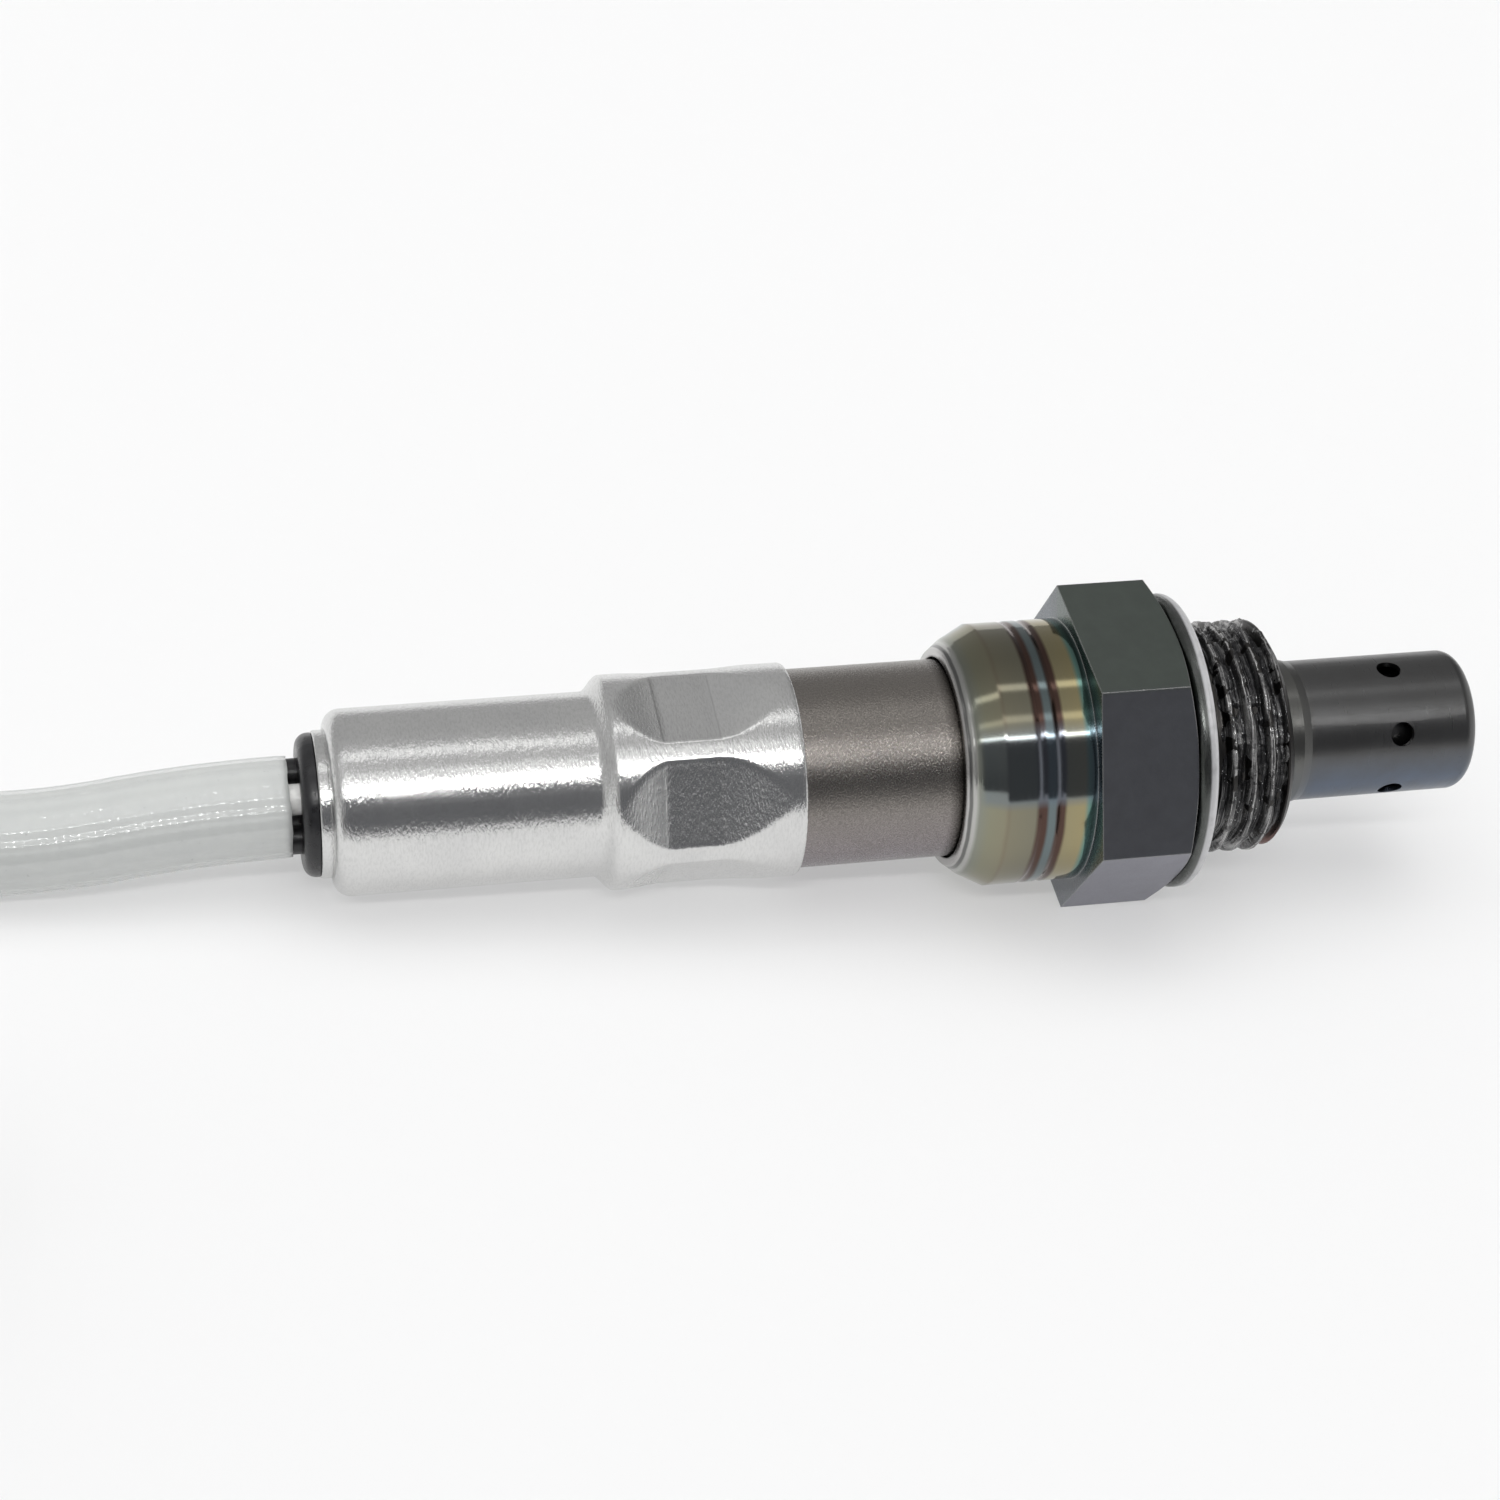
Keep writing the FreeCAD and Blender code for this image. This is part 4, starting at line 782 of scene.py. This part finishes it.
def make_thread():
    places = [THREAD_FIRST - THREAD_OVERLAP]
    places += list(np.linspace(THREAD_FIRST, THREAD_LAST, THREAD_ROWS))
    places.append(THREAD_LAST)
    obj = around_axis("shell_thread", places, THREAD_COLUMNS, thread_radius)
    # the last ring closes the thread's end face down to the core
    for column, vertex in enumerate(obj.data.vertices[-THREAD_COLUMNS:]):
        vertex.co = round_axis(THREAD_LAST, THREAD_CORE, 2 * math.pi * column / THREAD_COLUMNS)
    wear(obj, thread_steel())
    return obj


def make_shell_body():
    """The shell, with its thread's blank turned down to the core."""

    def turned_down(x, y, z):
        radius = math.hypot(y, z)
        if THREAD_FIRST - 0.01 < x and radius > THREAD_CORE:
            share = THREAD_CORE / radius
            return x, y * share, z * share

    return reshaped("metal_shell", "shell_body", turned_down)


def noise_place(x, angle, pace):
    """Place in a noise that closes round the axis."""
    along, around = pace
    return Vector((x * along, around * math.cos(angle), around * math.sin(angle)))


def make_paste():
    places = list(np.linspace(PASTE_FIRST, PASTE_LAST, PASTE_ROWS))

    def radius_at(x, angle):
        lumps = noise.fractal(noise_place(x, angle, LUMP_PACE) * 0.8, 0.9, 2.1, 4)
        drag = noise.noise(noise_place(x, angle, DRAG_PACE))
        filling = THREAD_ROOT + PASTE_FILL + PASTE_FILL_DRAG * drag
        filled = max(thread_radius(x, angle), filling)
        on_top = max(math.sin(angle), 0.0)
        lump = (PASTE_LUMP + PASTE_LUMP_ON_TOP * on_top) * lumps
        radius = filled + PASTE_FILM + lump + PASTE_DRAG * drag
        end = min((x - PASTE_FIRST) / PASTE_START_TAPER, (PASTE_LAST - x) / PASTE_END_TAPER, 1.0)
        return radius - (1.0 - max(end, 0.0)) * PASTE_TAPER

    obj = around_axis("thread_paste", places, PASTE_COLUMNS, radius_at)
    wear(obj, thread_paste())
    return obj


shell_body = make_shell_body()
wear(shell_body, LOOKS["shell_steel"])
shell_thread = make_thread()
paste = make_paste()
for obj in (shell_body, shell_thread, paste):
    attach(obj, "root")
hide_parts("metal_shell")


# Tail sleeve, its flats drawn out of the round as the press leaves them


def sleeve_profile(x):
    """Outside of the sleeve before it is crimped."""
    if x > SLEEVE_SMALL_END:
        share = eased((SLEEVE_STEP_START - x) / (SLEEVE_STEP_START - SLEEVE_STEP_END))
        return SLEEVE_LARGE - (SLEEVE_LARGE - SLEEVE_SMALL) * share
    past = min(SLEEVE_SMALL_END - x, SLEEVE_BEND)
    return SLEEVE_SMALL - SLEEVE_BEND + math.sqrt(SLEEVE_BEND ** 2 - past ** 2)


def sleeve_radius(x, angle):
    """Outside of the crimped sleeve: six flats that run out into the round."""
    radius = sleeve_profile(x)
    if not CRIMP_END < x < CRIMP_START:
        return radius
    rear = (x - CRIMP_END) / (JAW_END - CRIMP_END)
    share = min(
        eased((CRIMP_START - x) / (CRIMP_START - JAW_START)),
        0.5 * (eased(rear) + min(max(rear, 0.0), 1.0)),
    )
    off_middle = abs((angle - FLAT_TURN + SIXTH / 2) % SIXTH - SIXTH / 2)
    flat = (SLEEVE_LARGE - (SLEEVE_LARGE - CRIMP_FLAT) * share) / math.cos(off_middle)
    overlap = max(RIDGE_SOFTNESS - abs(radius - flat), 0.0) / RIDGE_SOFTNESS
    radius = min(radius, flat) - overlap * overlap * RIDGE_SOFTNESS / 4 * min(share * 4, 1.0)
    if JAW_END < x < JAW_START:
        radius -= JAW_DEPTH * eased(0.5 + 0.5 * (JAW_HALF_ANGLE - off_middle) / JAW_EDGE)
    return radius


def sleeve_angles():
    """Angles that lie closer together beside the ridges and the edges of the jaw marks."""
    half = list(np.radians(np.arange(0.75, 22.5, 1.5)))
    edge = math.degrees(JAW_HALF_ANGLE)
    half += [math.radians(edge + step) for step in (-0.8, 0.0, 0.8, 1.6, 2.4, 3.4, 4.6)]
    one_flat = sorted([-step for step in half] + half)
    return [FLAT_TURN + number * SIXTH + step for number in range(6) for step in one_flat]


def make_outer_sleeve():
    angles = sleeve_angles()
    points = []

    def follow_outside(x, less=0.0):
        points.extend(round_axis(x, sleeve_radius(x, angle) - less, angle) for angle in angles)

    for x, less in MOUTH_RINGS:
        follow_outside(x, less)
    for stretch in OUTSIDE_STRETCHES:
        for x in np.linspace(*stretch):
            follow_outside(x)
    for turn in np.radians(np.linspace(*BEND_TURNS)):
        follow_outside(SLEEVE_SMALL_END - SLEEVE_BEND * math.sin(turn))
    for x, radius in LIP_RINGS:
        points.extend(round_axis(x, radius, angle) for angle in angles)
    for x in INSIDE_RINGS:
        follow_outside(x, SLEEVE_WALL)
    rows = len(points) // len(angles)
    obj = new_mesh("tail_sleeve", points, grid_faces(rows, len(angles)))
    wear(obj, LOOKS["sleeve_steel"])
    return obj


tail_sleeve = make_outer_sleeve()
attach(tail_sleeve, "root")
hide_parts("outer_sleeve")


# Lead: four wires that run on into a coated woven sleeve along its route


def lengthen_wire(name):
    """The wire, drawn on into the sleeve."""

    def tucked(x, y, z):
        if x < WIRE_END + 0.05:
            return WIRE_TUCKED, y, z

    obj = reshaped(name, f"{name}_end", tucked)
    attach(obj, "root")
    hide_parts(name)


for name in ("lead_wire_black_upper", "lead_wire_white", "lead_wire_black_lower", "lead_wire_grey"):
    lengthen_wire(name)


def route_points():
    """Points along the lead's own line, in metres."""
    curve = bpy.data.curves.new("lead_route", "CURVE")
    curve.dimensions = "3D"
    spline = curve.splines.new("NURBS")
    spline.points.add(len(CORD_ROUTE) - 1)
    for point, spot in zip(spline.points, CORD_ROUTE):
        point.co = (spot[0] * MM, spot[1] * MM, spot[2] * MM, 1.0)
    spline.order_u = 3
    spline.use_endpoint_u = True
    spline.resolution_u = 24
    guide = new_object("lead_route", curve)
    mesh = bpy.data.meshes.new_from_object(guide)
    points = [vertex.co.copy() for vertex in mesh.vertices]
    bpy.data.objects.remove(guide)
    bpy.data.meshes.remove(mesh)
    return points


def rings_along(points):
    """For each point of the line: the point, two directions across it and the way to it."""
    rings = []
    travelled = 0.0
    side = Vector((0, 0, 1)).cross(points[1] - points[0]).normalized()
    before = points[0]
    for number, point in enumerate(points):
        travelled += (point - before).length
        before = point
        behind = points[max(number - 1, 0)]
        ahead = points[min(number + 1, len(points) - 1)]
        forward = (ahead - behind).normalized()
        side = (side - forward * side.dot(forward)).normalized()
        rings.append((point, side.copy(), forward.cross(side), travelled / MM))
    return rings


def make_lead():
    points = route_points()
    rings = rings_along(points)
    spots = []
    lengths = []

    def add_ring(ring, radius, pushed=None):
        point, side, up, along = ring
        forward = side.cross(up)
        for column in range(CORD_COLUMNS):
            angle = 2 * math.pi * column / CORD_COLUMNS
            out = side * math.cos(angle) + up * math.sin(angle)
            push = pushed(angle) if pushed else 0.0
            spots.append(point + (out * radius + forward * push) * MM)
            lengths.append((along + push, column / CORD_COLUMNS))

    def ragged(angle):
        spot = Vector((3 * math.cos(angle), 3 * math.sin(angle), 0.4))
        return CORD_START + CORD_RAGGED * noise.noise(spot)

    inside = next(ring for ring in rings if ring[3] > CORD_HOLLOW)
    add_ring(inside, CORD_BORE)
    add_ring(rings[0], CORD_BORE, ragged)
    add_ring(rings[0], CORD_RADIUS - CORD_ROUNDING, ragged)
    for ring in rings[1:-1]:
        if ring[3] > CORD_START + 0.3:
            add_ring(ring, CORD_RADIUS)
    add_ring(rings[-1], CORD_RADIUS - CORD_ROUNDING)
    add_ring(rings[-1], CORD_BORE)
    add_ring(rings[-8], CORD_BORE)
    obj = new_mesh("lead_sleeve", spots, grid_faces(len(spots) // CORD_COLUMNS, CORD_COLUMNS))
    layer = obj.data.uv_layers.new(name="Along")
    for polygon in obj.data.polygons:
        corners = [(loop, obj.data.loops[loop].vertex_index) for loop in polygon.loop_indices]
        columns = {index % CORD_COLUMNS for _, index in corners}
        closes = 0 in columns and CORD_COLUMNS - 1 in columns
        for loop, index in corners:
            along, around = lengths[index]
            if closes and index % CORD_COLUMNS == 0:
                around = 1.0
            layer.data[loop].uv = (along, around)
    wear(obj, woven_sleeve())
    return obj, points


lead, lead_path = make_lead()
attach(lead, "root")
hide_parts("cable_sleeve")


# Studio


FLOOR_HALF = 1.5
CAMERA_PLACE = (-0.069393, -0.174681, 0.166555)
CAMERA_RIGHT = Vector((0.970616, -0.191653, 0.145511))
CAMERA_UP = Vector((0.017973, 0.660750, 0.750391))
CAMERA_AHEAD = Vector((0.239962, 0.725726, -0.644779))
FOCAL_LENGTH = 76.8
FILM_WIDTH = 36.0

# Light of the room: height about the X axis, in degrees from the front over the top, and colour.
ROOM_LIGHT = [
    (-20.0, (0.15, 0.152, 0.16)),
    (51.5, (0.14, 0.142, 0.15)),
    (53.5, 1.4),
    (54.2, 14.0),
    (55.0, 14.0),
    (55.7, 1.1),
    (61.0, 0.95),
    (63.5, 0.85),
    (67.0, 0.85),
    (69.0, 1.45),
    (72.5, 1.45),
    (75.0, 0.58),
    (96.0, 0.57),
    (98.0, 2.0),
    (102.0, 2.0),
    (104.0, 0.54),
    (130.0, 0.47),
    (180.0, 0.45),
]
# Short strip lamp: its height and half its width in degrees, its soft edge and its light.
LAMP_HEIGHT = 55.0
LAMP_HALF_WIDTH = 1.2
LAMP_EDGE = 0.6
LAMP_GLOW = 26.0


def make_floor():
    corners = [(-1, -1), (1, -1), (1, 1), (-1, 1)]
    points = [(x * FLOOR_HALF, y * FLOOR_HALF, 0) for x, y in corners]
    floor = new_mesh("floor", points, [(0, 1, 2, 3)])
    floor.data.shade_flat()
    wear(floor, floor_white())


def make_world():
    """White tent; a dark side in front and two bright strips above show in the metal."""
    world = bpy.data.worlds.new("studio")
    bpy.context.scene.world = world
    world.use_nodes = True
    g = Graph(world.node_tree)
    split = g.add("ShaderNodeSeparateXYZ")
    g.put(split.inputs[0], g.add("ShaderNodeTexCoord").outputs["Generated"])
    x, y, z = split.outputs
    height = g.math("ARCTAN2", z, g.times(y, -1.0))
    degrees = g.math("DEGREES", height)
    room = g.ramp_along(degrees, ROOM_LIGHT)
    off_lamp = g.math("ABSOLUTE", g.minus(degrees, LAMP_HEIGHT))
    lamp = g.spread(off_lamp, LAMP_HALF_WIDTH, LAMP_HALF_WIDTH + LAMP_EDGE, 1.0, 0.0)
    lamp = g.times(lamp, g.spread(x, 0.06, 0.0))
    lamp = g.times(lamp, g.spread(x, -0.45, -0.35))
    room = g.mix(lamp, room, LAMP_GLOW)
    # the room darkens beyond the tip, and its two end walls are plain
    beyond = g.spread(x, 0.34, 0.40)
    room = g.mix(beyond, room, g.mix(1.0, room, 0.24, "DARKEN"))
    room = g.mix(g.spread(x, 0.6, 0.9, smooth=True), room, 0.85)
    room = g.mix(g.spread(x, -0.6, -0.92, smooth=True), room, 0.5)
    light = g.add("ShaderNodeBackground")
    g.put(light.inputs["Color"], room)
    g.put(light.inputs["Strength"], 1.0)
    white = g.add("ShaderNodeBackground")
    g.put(white.inputs["Color"], (1.0, 1.0, 1.0, 1.0))
    g.put(white.inputs["Strength"], 1.0)
    chosen = g.add("ShaderNodeMixShader")
    g.put(chosen.inputs[0], g.add("ShaderNodeLightPath").outputs["Is Camera Ray"])
    g.put(chosen.inputs[1], light.outputs[0])
    g.put(chosen.inputs[2], white.outputs[0])
    output = g.add("ShaderNodeOutputWorld")
    g.put(output.inputs["Surface"], chosen.outputs[0])


def add_area_light(name, spot, target, width, depth, power):
    data = bpy.data.lights.new(name, "AREA")
    data.shape = "RECTANGLE"
    data.size = width
    data.size_y = depth
    data.energy = power
    light = new_object(name, data)
    light.location = spot
    light.visible_glossy = False
    light.rotation_euler = (Vector(target) - Vector(spot)).to_track_quat("-Z", "Y").to_euler()


def make_camera():
    data = bpy.data.cameras.new("camera")
    data.lens = FOCAL_LENGTH
    data.sensor_width = FILM_WIDTH
    data.clip_start = 0.01
    camera = new_object("camera", data)
    turn = Matrix((CAMERA_RIGHT, CAMERA_UP, -CAMERA_AHEAD)).transposed()
    camera.matrix_world = Matrix.Translation(CAMERA_PLACE) @ turn.to_4x4()
    bpy.context.scene.camera = camera


make_floor()
make_world()
add_area_light("key", spot=(0.0, 0.15, 0.9), target=(0.0, 0.0, 0.0), width=1.2, depth=0.8, power=5.0)
make_camera()
bpy.context.scene.view_settings.view_transform = "Standard"
